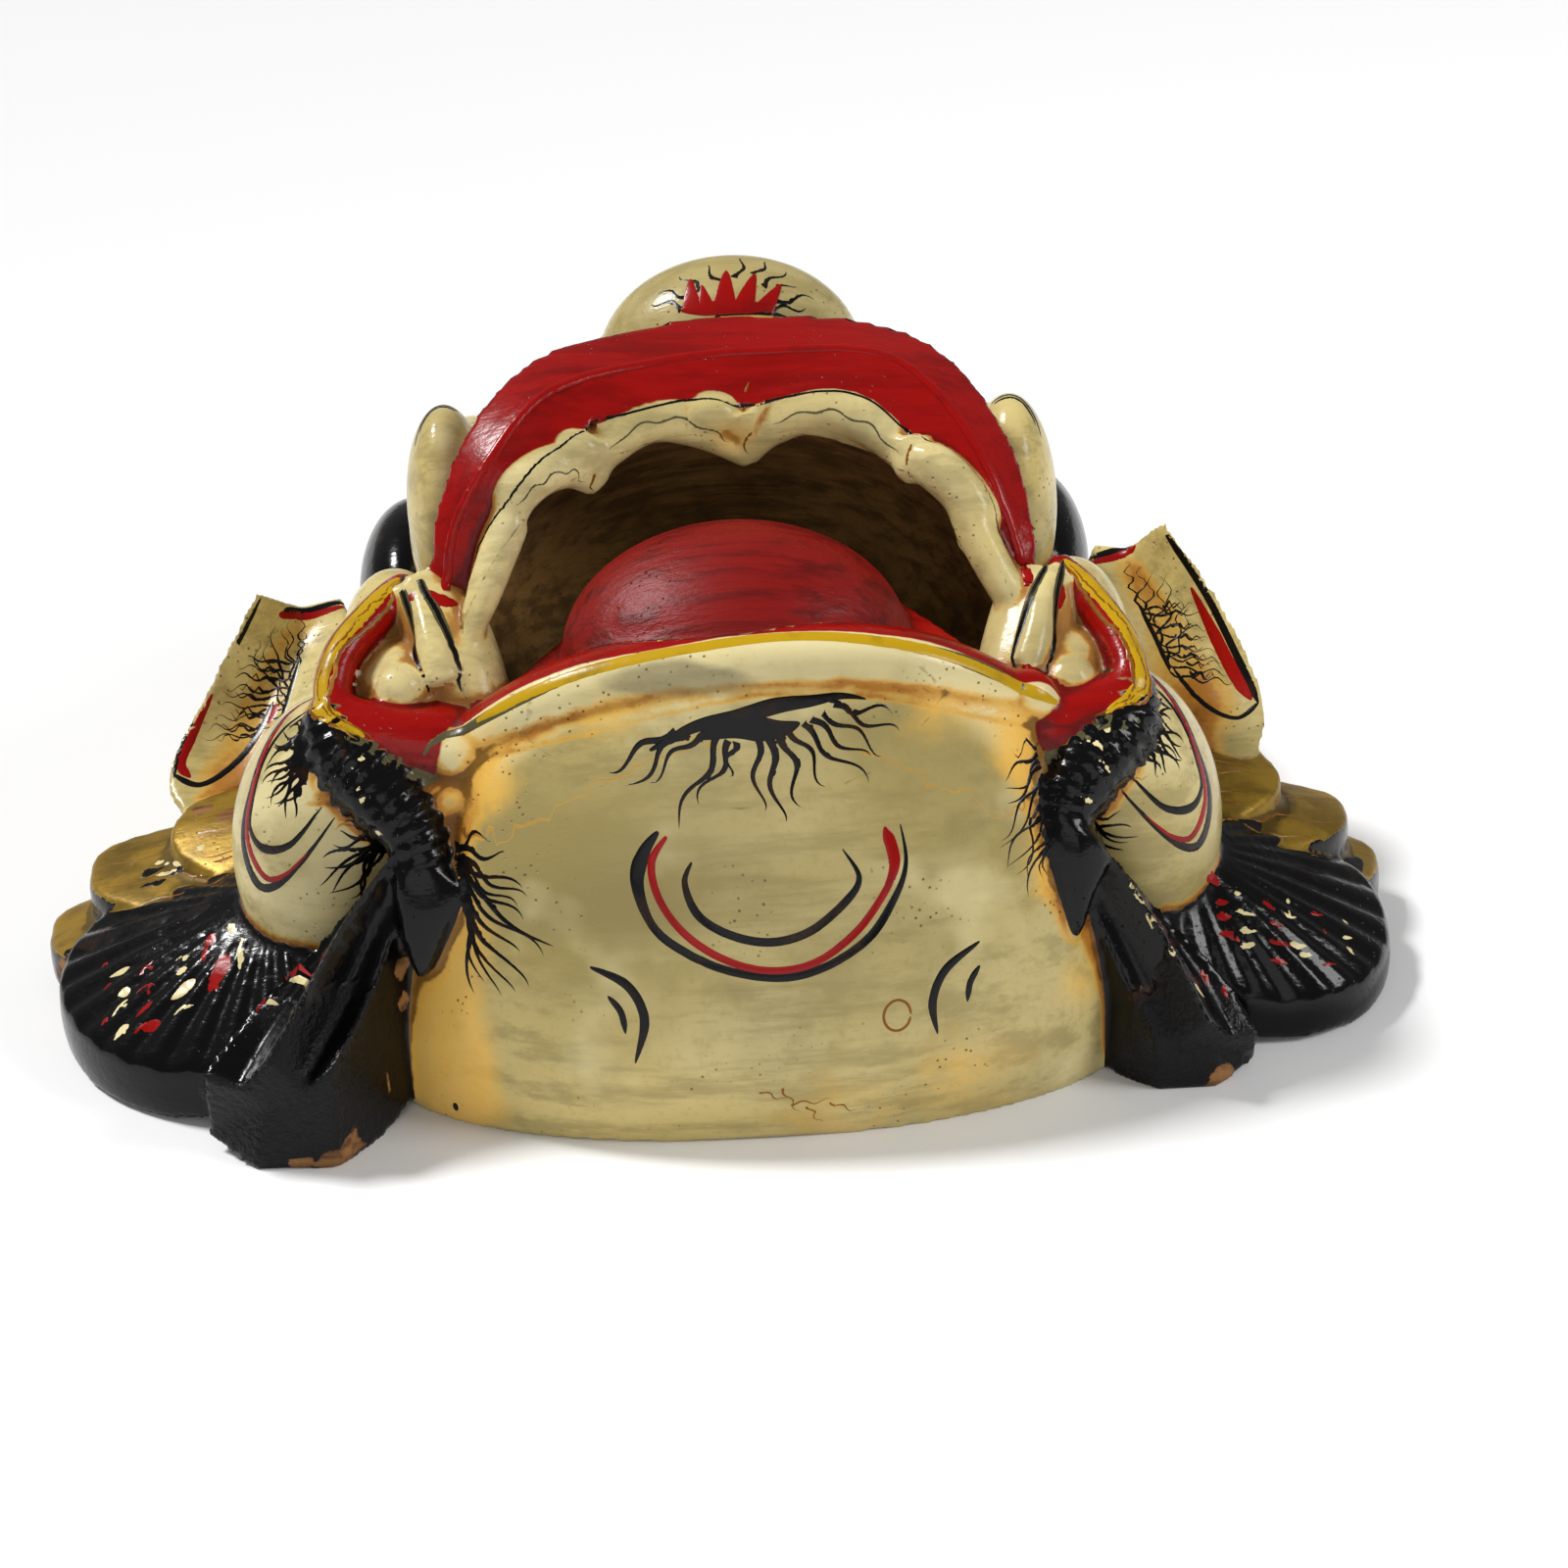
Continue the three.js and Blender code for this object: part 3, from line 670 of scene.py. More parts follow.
def mark(data, name, columns):
    """Stores three values a vertex for the paint to read."""
    layer = data.attributes.new(name, "FLOAT_VECTOR", "POINT")
    layer.data.foreach_set("vector", np.stack(columns, 1).astype(np.float32).ravel())


# Spots of brown stain: x, y, z, reach and strength. A strength below 0 keeps a spot free of stain.
STAINS = [
    (-82, 27, 66, 15, 1.0), (-82, 28, 48, 15, 1.0), (-84, 26, 28, 15, 1.0), (-80, 20, 10, 14, 0.9),
    (-70, 22, 20, 14, 0.4), (80, 34, 60, 12, 0.7), (84, 30, 30, 12, 0.6), (82, 40, 84, 10, 0.7),
    (-60, 46, 90, 14, 0.9), (-30, 44, 108, 12, 0.7), (50, 46, 104, 14, 0.7), (72, 46, 92, 12, 0.8),
    (30, 4, 8, 26, 0.35), (60, 10, 12, 16, 0.45), (-10, 4, 6, 18, 0.2), (-88, 80, 110, 10, 0.7),
    (90, 80, 108, 10, 0.6), (4, 116, 152, 8, 0.5), (-138, 155, 62, 24, -1.6), (132, 158, 66, 24, -1.6),
    (-150, 118, 44, 9, 0.8), (-142, 112, 46, 8, 0.8),
]
# Places where the paint is chipped off: x, y, z and reach
CHIPS = [
    (-95, 20, 14, 4), (-99, 14, 9, 5), (-103, 8, 5, 6), (-108, 3, 1, 6), (-90, 29, 44, 3.5),
    (-91, 28, 34, 3.5),
    (-190, 88, 6, 12), (-180, 78, 4, 10), (-96, 47, 84, 5), (-153, 116, 46, 5), (-145, 110, 50, 5),
    (-118, 3, 2, 4), (-160, 76, 20, 4), (124, 20, 2, 5), (178, 90, 4, 6),
]
# The lower edge of the lip's red as (x, y), and the crease across the chin as (x, z)
RED_EDGE = [(-78, 49), (-46, 43), (-21, 41), (12, 42), (39, 42), (64, 45), (83, 50)]
CHIN_FOLD = [(-80, 86), (-62, 98), (-44, 104), (-20, 111), (8, 115), (38, 112), (60, 104), (78, 96)]


def level(x, line):
    """The second number of a line's points at each x, straight between them."""
    return np.interp(x, [point[0] for point in line], [point[1] for point in line])


def glow(*sides):
    """1 in the middle, fading over the reach of each (value, middle, reach)."""
    return np.exp(-sum(((value - middle) / reach) ** 2 for value, middle, reach in sides))


def mark_zones(made, trees):
    """Signed distances in millimetres into each paint's zone, the depth of the creases, the wear, a painted
    shadow patch on the lower lip, and painted shade and light.
    """
    data = made.data
    spots = coordinates(data)
    x, y, z = spots.T
    normals = np.zeros(len(spots) * 3, np.float32)
    data.vertex_normals.foreach_get("vector", normals)
    normals = normals.reshape(-1, 3)

    near = {zone: nearest(tree, spots) for zone, tree in trees.items()}
    field = {zone: near[zone] - np.min([near[other] for other in near if other != zone],
                                       axis=0) for zone in near}
    lip = np.where((abs(x - 2) < 84) & (y < 112) & (z > 84) & (z < 135), level(x, RED_EDGE) + 1.5 - y, FAR)
    muzzle = np.max([abs(x - 4) - 50, y + 1 - level(x, LIP_TOP[:10]), 153 - z], axis=0)
    for area in (lip, muzzle):
        field["red"] = np.minimum(field["red"], np.where(field["cream"] < 0.4, area, FAR))
    lobe_wall = np.where((field["gold"] < 0) & (z < 32) & (normals[:, 2] < 0.45), -3.0, FAR)
    field["black"] = np.minimum(field["black"], lobe_wall)
    field["gold"] = np.where(lobe_wall < 0, 3.0, field["gold"])
    for name, zones in (("paint_a", ("red", "black", "gold")), ("paint_b", ("tooth", "tongue", "wood"))):
        mark(data, name, [np.clip(field[zone], -FAR, FAR) for zone in zones])

    stain, chips = np.zeros(len(spots)), np.zeros(len(spots))
    for mx, my, mz, reach, strength in STAINS:
        stain += strength * np.exp(-((x - mx) ** 2 + (y - my) ** 2 + (z - mz) ** 2) / reach ** 2)
    for mx, my, mz, reach in CHIPS:
        away = np.sqrt((x - mx) ** 2 + (y - my) ** 2 + (z - mz) ** 2)
        chips = np.maximum(chips, 1 - away / (2 * reach))
    fine = relax(data, spots, 10)
    broad = relax(data, fine, 60)
    mark(data, "form", [((fine - spots) * normals).sum(1), ((broad - spots) * normals).sum(1), stain])
    # Painted shadow: a grey patch on the top of the lower lip, left of the middle
    lip_shadow_patch = glow((x, -14, 26), (z - 120 + 0.08 * abs(x + 14), 0, 6)) * (y < 47)
    ends = (field["black"] < 0) * np.clip((-normals[:, 1] - 0.55) * 4, 0, 1) * (y < 24) * (z < 44)
    mark(data, "wear", [lip_shadow_patch, chips, ends])
    # Painted shade on the chin under the lip and on the nose, and painted light that makes the top of the
    # lower lip paler
    shadow = 1.7 * glow((x, -46, 52), (z, 72, 32)) * (y < 44) + 0.9 * glow((x, 4, 60), (z, 178, 16)) \
        + 0.5 * glow((x, 60, 40)) * (y < 40)
    lip_top_light = (y < 52) * np.clip((z - 100 + 0.2 * abs(x)) / 8, 0, 1) * np.clip((y - 36) / 3, 0, 1)
    fold = np.where((y < 52) & (y > 28) & (z > 80), np.clip(z - level(x, CHIN_FOLD), -FAR, FAR), FAR)
    mark(data, "mood", [shadow, lip_top_light, fold])


# ---- Strokes of paint ----


class Brush:
    """Lays strokes on the carving. Each one is a thin closed body on the surface."""

    def __init__(self, made):
        skin = bmesh.new()
        skin.from_mesh(made.data)
        bmesh.ops.scale(skin, vec=(1 / MM, 1 / MM, 1 / MM), verts=skin.verts)
        bmesh.ops.translate(skin, vec=-Vector(SHIFT), verts=skin.verts)
        self.skin = BVHTree.FromBMesh(skin)
        skin.free()
        self.dice = random.Random(11)
        self.pots = {}

    def line(self, pot, points, half, start=0.3, end=0.3, lift=0.0, waves=0.0, sway=0.0, sides=8, pitch=0.9,
             thick=0.12):
        """A stroke through points. It swells over its start, thins over its end and may sway."""
        at = run([list(p) for p in points])
        rough = [Vector(at(i / 20)) for i in range(21)]
        reach = sum((b - a).length for a, b in zip(rough, rough[1:]))
        steps = max(5, int(reach / pitch))
        phase = self.dice.uniform(0, TAU)
        spine = [self.skin.find_nearest(Vector(at(i / steps)))[:2] for i in range(steps + 1)]
        frames = []
        for i, (spot, normal) in enumerate(spine):
            t = i / steps
            heading = (spine[min(i + 1, steps)][0] - spine[max(i - 1, 0)][0]).normalized()
            side = normal.cross(heading).normalized()
            bend = sway * (math.sin(TAU * waves * t + phase) - math.sin(phase) * (1 - t)) * min(1, 3 * t)
            swell, thin = min(1, (t + 0.02) / max(start, 0.02)), min(1, (1.02 - t) / max(end, 0.02))
            frames.append((spot + side * bend, side, half * swell ** 0.6 * thin ** 0.8))

        def place(turn, t, end):
            middle, side, width = frames[round(t * steps)]
            c, s = (0, 0) if end else (math.cos(TAU * turn), math.sin(TAU * turn))
            spot, normal = self.skin.find_nearest(middle + side * width * c)[:2]
            rise = (min(thick, 0.4 * width) if s > 0 else 0.3) * s - SINK
            return spot + normal * (rise + lift)

        self.pots.setdefault(pot, []).append(sculpt(sides, steps + 2, place))

    def lines(self, rows, **shared):
        """Strokes from rows of (pot, points, half width, start, end, lift), with the rest shared."""
        for row in rows:
            self.line(*row, **shared)

    def hair(self, root, tip, half=0.9, waves=1.3, sway=1.2, pot="black"):
        """A wavy hair that thins from its root to its tip."""
        root, tip = Vector(root), Vector(tip)
        self.line(pot, [root, (root + tip) / 2, tip], half, 0.0, 1.0, waves=waves, sway=sway, sides=6,
                  pitch=1.0)

    def hairs(self, rows, **shared):
        """Hairs from rows of (root, tip, half width), with the rest shared."""
        for row in rows:
            self.hair(*row, **shared)

    def tuft(self, roots, tips, count, half=0.9, sway=1.2, waves=1.3, short=0.75):
        """Hairs that spread from a root curve to a curve of tips."""
        start, finish = run([list(p) for p in roots]), run([list(p) for p in tips])
        for i in range(count):
            t = (i + 0.5 + self.dice.uniform(-0.25, 0.25)) / count
            root, tip = Vector(start(t)), Vector(finish(t))
            tip = root + (tip - root) * self.dice.uniform(short, 1.05)
            self.hair(root, tip, half * self.dice.uniform(0.8, 1.2), waves * self.dice.uniform(0.8, 1.2),
                      sway * self.dice.uniform(0.7, 1.3))

    def flecks(self, pot, start, end, count, heading, size, half):
        """A row of short dabs between two points, each drawn along heading."""
        heading = Vector(heading).normalized()
        for i in range(count):
            t = (i + 0.5 + self.dice.uniform(-0.2, 0.2)) / count
            spot = Vector(mix(start, end, t))
            spot += Vector([self.dice.uniform(-1.6, 1.6) for _ in range(3)])
            along = heading * size * self.dice.uniform(0.2, 0.8)
            skew = Vector([self.dice.uniform(-1.0, 1.0) for _ in range(3)])
            self.line(pot, [spot - along + skew, spot, spot + along - skew],
                      half * self.dice.uniform(0.6, 1.4),
                      0.3, 0.5, sides=6, pitch=1.0)


def oval(middle, half_x, half_y, lean=90, sweep=360):
    """Points round an oval that leans by so many degrees from upright towards lying flat."""
    x, y, z = middle
    back, up = math.sin(math.radians(lean)), math.cos(math.radians(lean))
    turns = [math.radians(sweep * i / 12) for i in range(13)]
    return [(x + half_x * math.cos(t), y + half_y * math.sin(t) * back, z + half_y * math.sin(t) * up)
            for t in turns]


def draw_chin(brush):
    """The line along the lip, the rings and hairs under it, and the tufts at the chin's sides."""
    brush.lines([
        ("olive", [(-80, 50, 96), (-62, 45, 108), (-38, 42, 119), (-16, 41, 125)], 1.9, 0.4, 0.5, 0.02),
        ("olive", [(44, 42, 123), (66, 45, 114), (84, 50, 100)], 2.2, 0.4, 0.5, 0.02),
        ("yellow", [(-66, 46, 106), (-38, 42, 119), (-12, 41, 125), (14, 42, 126), (40, 42, 123),
                    (64, 45, 114),
                    (84, 50, 100)], 1.7, 0.08, 0.08, 0.05),
    ], sides=20)
    outer = [(-20, 20, 85), (-24, 18, 80), (-26, 15, 73), (-23, 11, 63), (-15, 9, 56), (-3, 7, 51),
             (10, 6, 49),
             (21, 8, 51), (32, 10, 57), (39, 14, 66), (42, 17, 74), (41, 21, 83)]
    rim = [(-18, 19, 84), (-22, 17, 78), (-21, 13, 70), (-16, 10, 62), (-7, 8, 55), (5, 7, 51), (17, 7, 52),
           (28, 10, 58), (36, 13, 67), (39, 17, 74), (37, 20, 83)]
    inner = [(-12, 16, 78), (-14, 14, 73), (-11, 11, 65), (-3, 9, 60), (7, 8, 58), (17, 9, 60),
             (26, 12, 66),
             (30, 14, 72), (26, 17, 79)]
    brush.lines([
        ("black", outer, 1.2, 0.2, 0.25), ("black", outer[:5], 2.3, 0.4, 0.7),
        ("red", rim, 1.0, 0.1, 0.2, 0.03),
        ("red", rim[8:], 1.6, 0.6, 0.2, 0.03), ("black", inner, 1.2, 0.25, 0.25),
    ], sides=12)
    roots = [(-21, 30, 103), (-12, 31, 107), (-2, 31, 110), (7, 32, 111), (17, 33, 113), (26, 34, 113),
             (34, 35, 112)]
    brush.line("black", roots, 2.8, 0.6, 0.6, waves=3, sway=0.4, sides=20)
    brush.line("black", [(-9, 30, 106), (1, 30, 108), (11, 30, 107), (17, 31, 108)], 3.4, 0.5, 0.5,
               sides=20)
    brush.hairs([
        ((-14, 31, 107), (-32, 29, 98), 1.9), ((-11, 30, 107), (-27, 26, 94), 1.6),
        ((-8, 30, 106), (-22, 26, 96), 1.3), ((-4, 29, 106), (-16, 20, 86), 1.5),
        ((-1, 29, 105), (-10, 22, 91), 1.4),
        ((1, 28, 105), (-2, 25, 97), 1.5), ((6, 29, 107), (6, 20, 89), 1.5),
        ((9, 29, 106), (11, 19, 86), 1.7),
        ((12, 29, 106), (16, 21, 89), 1.6), ((14, 30, 107), (23, 24, 93), 1.3),
        ((18, 31, 108), (34, 25, 93), 1.3),
        ((20, 31, 109), (34, 28, 98), 1.4), ((23, 32, 110), (38, 29, 99), 1.2),
        ((26, 33, 112), (42, 32, 103), 1.4),
        ((25, 34, 113), (41, 34, 108), 1.5),
    ], waves=1.4, sway=1.5)
    brush.tuft([(-73, 35, 76), (-72, 31, 70), (-71, 28, 64)],
               [(-62, 30, 84), (-54, 19, 66), (-50, 14, 54), (-60, 16, 42), (-70, 20, 38)], 14, half=1.5,
               sway=1.6)
    brush.tuft([(79, 42, 92), (80, 39, 82), (81, 35, 74)],
               [(71, 38, 95), (67, 29, 80), (64, 22, 64), (69, 24, 57), (79, 30, 60)], 13, half=1.0,
               sway=1.5)
    brush.line("umber", oval((38, 6, 36), 3.6, 4.2, 18, 350), 0.45, 0.05, 0.05, thick=0.08)
    brush.hairs([((2, 2, 17), (10, 3, 13)), ((8, 2, 18), (13, 3, 8)), ((10, 3, 12), (22, 5, 13)),
                 ((14, 3, 11), (18, 4, 4)), ((20, 4, 12), (28, 6, 8))], half=0.5, waves=2, sway=0.8,
                 pot="umber")
    brush.lines([
        ("black", [(-39, 11, 52), (-30, 8, 48), (-26, 6, 39), (-29, 5, 27)], 1.4),
        ("black", [(-35, 8, 45), (-32, 6, 41), (-31, 6, 35)], 1.0),
        ("black", [(60, 15, 51), (51, 11, 46), (47, 9, 38), (48, 8, 29)], 1.3),
        ("black", [(60, 13, 45), (57, 12, 41), (56, 11, 36)], 1.0),
        ("black", [(-79, 21, 5), (-77, 21, 5)], 1.5),
    ])


def draw_face(brush):
    """The nose's foot, the edges of the lips, the teeth and the tusks."""
    for root, tip, half in (((-5, 155, 175), (-5, 164, 181), 3.0), ((-1, 154, 176), (-2, 161, 180), 2.4),
                            ((4, 154, 175), (5, 165, 183), 3.6), ((9, 154, 175), (13, 164, 182), 3.2),
                            ((15, 154, 175), (20, 162, 179), 2.8)):
        brush.line("red", [root, mix(root, tip, 0.5), tip], half, 0.02, 1.0, 0.12, sides=20)
    brush.line("red", [(-8, 156, 175), (0, 154, 176), (9, 154, 176), (17, 155, 174)], 2.2, lift=0.12,
               sides=20)
    brush.hairs([
        ((-8, 156, 175), (-16, 162, 175)), ((-7, 158, 178), (-14, 164, 178)),
        ((-3, 159, 179), (-8, 167, 181)),
        ((4, 160, 181), (-1, 169, 183)), ((7, 162, 182), (10, 173, 183)), ((12, 164, 182), (17, 172, 182)),
        ((15, 160, 179), (22, 169, 180)), ((17, 158, 178), (24, 164, 178)),
        ((18, 157, 176), (29, 163, 174)),
        ((17, 155, 174), (27, 158, 173)),
    ], half=1.3, waves=1.2, sway=1.0)
    for side, (x, y, z) in ((-1, (-76, 138, 153)), (1, (82, 138, 146))):
        for scale, half in ((1.0, 0.9), (0.62, 0.8)):
            brush.line("black", [(x - side * 8 * scale, y + 6 * scale, z + 4 * scale),
                                 (x + side * 2 * scale, y + 5 * scale, z + 3 * scale),
                                 (x + side * 7 * scale, y - 4 * scale, z - 6 * scale)], half)
    for points in ([(-86, 94, 127), (-83, 79, 121), (-79, 62, 107)],
                   [(-82, 92, 127), (-77, 78, 121), (-70, 61, 107)],
                   [(91, 92, 122), (87, 78, 117), (83, 62, 102)],
                   [(87, 90, 122), (81, 77, 117), (74, 62, 104)]):
        brush.line("olive", points, 1.7, 0.6, 0.5, 0.04, sides=16)
        brush.line("black", points, 0.9, 0.5, 0.3, 0.08, sides=12)
    brush.lines([("red", [(-82, 85, 122), (-76, 83, 121), (-72, 82, 119)], 2.2, 0.3, 0.4),
                 ("red", [(88, 84, 117), (86, 80, 115), (84, 78, 113)], 2.0, 0.3, 0.4)], sides=10)
    brush.line("black", [(x, y + 1.5, z + 0.5) for x, y, z in LIP_TOP], 0.7, 0.05, 0.05, sides=6)
    brush.line("red", [(x, y - 1, z + 1) for x, y, z in LIP_CREST], 1.5, 0.05, 0.05, sides=12, thick=0.9)
    brush.line("black", [(x, y - 1, z) for x, y, z in LIP_LOW], 0.5, 0.05, 0.05, waves=9, sway=0.3, sides=6)
    brush.lines([("olive", points, 0.45) for points in (
        [(-30, 107, 154), (-18, 112, 160), (-4, 116, 157), (4, 117, 150)],
        [(15, 117, 155), (27, 116, 159), (40, 112, 156), (49, 105, 148)],
        [(-54, 91, 146), (-48, 95, 151), (-40, 100, 152), (-36, 102, 147)])], waves=4, sway=0.7, sides=6)
    brush.lines([("umber", points, 0.6, 0.3, 0.5) for points in (
        [(9, 128, 160), (8, 122, 153), (8, 118, 146)], [(-36, 112, 154), (-35, 106, 148), (-34, 103, 143)],
        [(52, 112, 153), (52, 106, 147), (52, 103, 142)], [(67, 98, 136), (65, 94, 131), (64, 92, 128)])],
        waves=2, sway=0.4, sides=6)
    for side, rows in zip((-1, 1), CORNER_LIPS):
        edge = [(x + side * 0.5 * r, y - 0.9 * r, z + 0.3 * r) for x, y, z, r in rows[:5]]
        brush.line("yellow", edge, 2.9, 0.2, 0.3, 0.04, sides=20)
        for shift, half in ((2.2, 0.9), (-0.5, 0.5), (-2.4, 0.6)):
            brush.line("umber", [(x + side * shift, y, z - 1) for x, y, z in edge], half, 0.2, 0.3, 0.06,
                       waves=3,
                       sway=0.6)
        brush.line("olive", [(x - side * 2, y - 8, z - 8) for x, y, z, _ in rows[3:6]], 2.2, sides=16)


def draw_cheeks(brush):
    """On each cheek ball a ring of two black lines with a red one between them, and two tufts."""
    for side, middle in ((-1, (-108, 66, 66)), (1, (103, 69, 62))):
        def around(*points):
            return [(middle[0] + side * x, middle[1] + y, middle[2] + z) for x, y, z in points]

        outer = around((-2, 1, 40), (8, 0, 38), (14, -5, 33), (20, -12, 20), (23, -14, 6), (20, -19, -5),
                       (14, -23, -4), (5, -25, 5), (-4, -23, 16))
        rim = around((5, 1, 39), (13, -6, 32), (18, -12, 20), (20.5, -15, 7), (17, -21, -2), (11, -25, 0),
                     (3, -26, 8))
        inner = around((-1, -5, 39), (9, -7, 35), (15, -10, 28), (19, -14, 18), (20, -16, 10), (16, -20, 6),
                       (8, -24, 9), (-1, -23, 19))
        root = around((3, -10, 36), (4, -16, 31), (3, -20, 24))
        brush.lines([("black", outer, 1.3, 0.5, 0.3), ("black", outer[3:8], 2.1, 0.5, 0.6),
                     ("red", rim, 1.2, 0.3, 0.4, 0.03), ("black", inner, 0.9),
                     ("black", inner[3:], 1.5, 0.6, 0.5),
                     ("black", root, 2.6)], sides=10)
        brush.tuft(root, around((6, -6, 38), (13, -9, 32), (15, -14, 22), (13, -18, 17), (7, -22, 15)), 17,
                   half=1.3, sway=1.1, waves=1.0)
        brush.tuft(around((-16, -22, 10), (-16, -23, 6)),
                   around((-7, -24, 17), (-1, -26, 8), (3, -27, -1), (-1, -27, -7), (-7, -26, -12)), 10,
                   half=1.5, sway=1.3, waves=1.1, short=0.8)


def draw_ears(brush):
    """Hairs in each ear's hollow, and the lines along its edges."""
    for root, up, out in (
            ([(-127, 166, 69), (-130, 156, 63), (-133, 146, 59)],
             [(-124, 178, 78), (-133, 176, 78), (-142, 170, 79)],
             [(-147, 164, 73), (-153, 154, 64), (-157, 142, 55)]),
            ([(123, 168, 73), (127, 158, 65), (130, 148, 59)],
             [(119, 180, 80), (130, 176, 84), (139, 164, 77)],
             [(140, 162, 75), (146, 150, 63), (149, 141, 57)])):
        brush.line("black", root, 1.0)
        brush.tuft(root, up, 7, half=0.65, sway=1.3, waves=3.2)
        brush.tuft(root, out, 9, half=0.6, sway=0.9, waves=3.2, short=0.9)
        brush.tuft([mix(a, b, 0.3) for a, b in zip(root, out)],
                   [mix(a, b, 0.75) for a, b in zip(root, out)], 9,
                   half=0.7, sway=1.2, waves=2.5)
    brush.lines([("black", points, half, 0.15, 0.15) for points, half in (
        ([(-138, 172, 87), (-151, 156, 68), (-161, 141, 55), (-163, 132, 50)], 0.8),
        ([(-163, 133, 50), (-155, 130, 48), (-146, 137, 51), (-139, 147, 56), (-135, 156, 60)], 1.2),
        ([(131, 174, 93), (141, 160, 78), (149, 146, 63), (153, 134, 54)], 1.3),
        ([(153, 134, 54), (146, 131, 52), (138, 138, 54), (131, 150, 60)], 0.9))])
    brush.lines([("red", points, half, 0.4, 0.2) for points, half in (
        ([(-152, 152, 66), (-158, 143, 57), (-161, 136, 52), (-158, 132, 50)], 1.6),
        ([(-137, 148, 58), (-134, 154, 61)], 1.6),
        ([(136, 162, 79), (142, 154, 69), (147, 144, 60), (151, 135, 55)], 2.2))])
    for points in ([(-132, 175, 81), (-122, 181, 79), (-113, 184, 80)],
                   [(108, 181, 82), (117, 184, 83), (124, 184, 85)]):
        brush.lines([("black", points, 1.5, 0.12, 0.25),
                     ("red", [(x, y - 3, z) for x, y, z in points], 1.5, 0.12, 0.25)])


def draw_hair(brush):
    """Red and white flecks on the fans and the locks, and the wavy edge above the fans."""
    out, away = (-1, -0.3, -0.1), (1, -0.2, -0.2)
    for row in (
            ("white", (-171, 64, 27), (-167, 38, 18), 4, out, 6, 1.5),
            ("red", (-161, 60, 31), (-159, 36, 20), 4, out, 5, 1.6),
            ("white", (-152, 60, 35), (-150, 37, 24), 4, out, 6, 1.4),
            ("red", (-145, 60, 38), (-139, 40, 30), 4, (-0.4, -0.6, -0.6), 8, 2.4),
            ("white", (-138, 62, 42), (-134, 48, 38), 2, (0.2, -0.6, -0.6), 7, 1.4),
            ("red", (-176, 70, 25), (-172, 44, 18), 3, out, 4, 1.0),
            ("red", (128, 58, 42), (132, 44, 30), 4, away, 4, 1.3),
            ("white", (133, 58, 38), (137, 42, 26), 4, away, 5, 1.2),
            ("red", (141, 58, 33), (144, 43, 22), 4, away, 4, 1.3),
            ("white", (148, 62, 31), (150, 43, 20), 4, away, 5, 1.2),
            ("red", (157, 64, 26), (157, 46, 17), 3, away, 4, 1.1),
            ("white", (166, 68, 22), (164, 50, 15), 3, away, 5, 1.1),
            ("red", (-98, 28, 64), (-130, 20, 36), 4, (-0.3, -0.4, -0.8), 6, 1.7),
            ("white", (-104, 25, 57), (-138, 24, 26), 4, (-0.7, 0.5, -0.2), 6, 1.2),
            ("white", (98, 32, 60), (122, 20, 26), 4, (0.5, -0.3, -0.8), 5, 1.3),
            ("red", (104, 33, 54), (130, 24, 22), 5, (0.4, -0.3, -0.8), 5, 1.3),
            ("white", (-101, 48, 99), (-88, 34, 80), 3, (-0.3, -0.4, -0.8), 3.5, 1.3),
            ("white", (101, 50, 95), (88, 36, 76), 3, (0.3, -0.4, -0.8), 3.5, 1.3)):
        brush.flecks(*row)
    for points in ([(-193, 90, 18), (-176, 78, 30), (-161, 74, 37), (-147, 71, 42), (-137, 78, 46)],
                   [(178, 104, 18), (166, 82, 27), (150, 77, 36), (134, 79, 44)]):
        brush.line("black", points, 3.4, 0.12, 0.25, waves=4, sway=1.6, sides=12)


def draw_lobes(brush):
    """Fine dark lines along the gilt lobes, and the flecks where the left ones meet the hair."""
    # Y and Z at the root, then X and Z at the tip
    for side, rows in ((-1, ((96, 50, 154, 42), (104, 52, 157, 44), (112, 52, 158, 45), (86, 42, 172, 33),
                             (98, 40, 182, 31), (110, 40, 182, 31), (84, 34, 184, 18), (98, 30, 196, 15))),
                       (1, ((100, 50, 148, 42), (108, 52, 151, 44), (116, 52, 150, 45), (90, 42, 162, 32),
                            (101, 40, 171, 30), (113, 40, 171, 29), (88, 34, 170, 18),
                            (100, 30, 180, 15)))):
        for y, z, x_end, z_end in rows:
            brush.line("umber", [(side * 112, y, z), (side * (112 + x_end) / 2, y - 2, (z + z_end) / 2),
                                 (side * x_end, y, z_end)], 0.55, 0.3, 0.5, waves=3, sway=0.8, sides=6)
    for x, y, z in ((-166, 94, 35), (-160, 97, 37), (-168, 100, 34)):
        brush.flecks("black", (x, y, z), (x + 5, y, z), 3, (1, 0.2, 0), 4, 1.3)
        brush.flecks("white", (x + 4, y + 2, z), (x + 10, y + 3, z), 2, (1, 0.2, 0), 4, 1.2)


def draw_top(brush):
    """The eyes, the brows and the forehead, plainer than the mouth's side."""
    for side in (-1, 1):
        x, y, z = FACE_X + side * EYE, 218, 128
        for reach_x, reach_y, half, pot in ((15, 12, 1.2, "black"), (10.5, 9.5, 1.1, "black"),
                                            (18, 15, 1.3, "red")):
            brush.line(pot, oval((x, y, z), reach_x, reach_y), half, 0.05, 0.05)
        for k in range(3):
            brush.line("black", [(x + k * 0.1 - 4, y - 2 + 2 * k, z + 2),
                                 (x + k * 0.1 + 4, y - 2 + 2 * k, z + 2)], 2.6)
        roots, tips = ([(FACE_X + side * x, y, z) for x, y, z in rows] for rows in (
            ((12, 262, 112), (34, 268, 112), (62, 262, 100)),
            ((14, 288, 100), (36, 294, 96), (68, 280, 84))))
        brush.tuft(roots, tips, 13, half=1.1, sway=1.4)
    brush.tuft([(-8, 300, 100), (3, 302, 100), (14, 300, 100)],
               [(-22, 322, 74), (3, 330, 66), (28, 322, 74)], 9,
               half=1.0, sway=1.4)
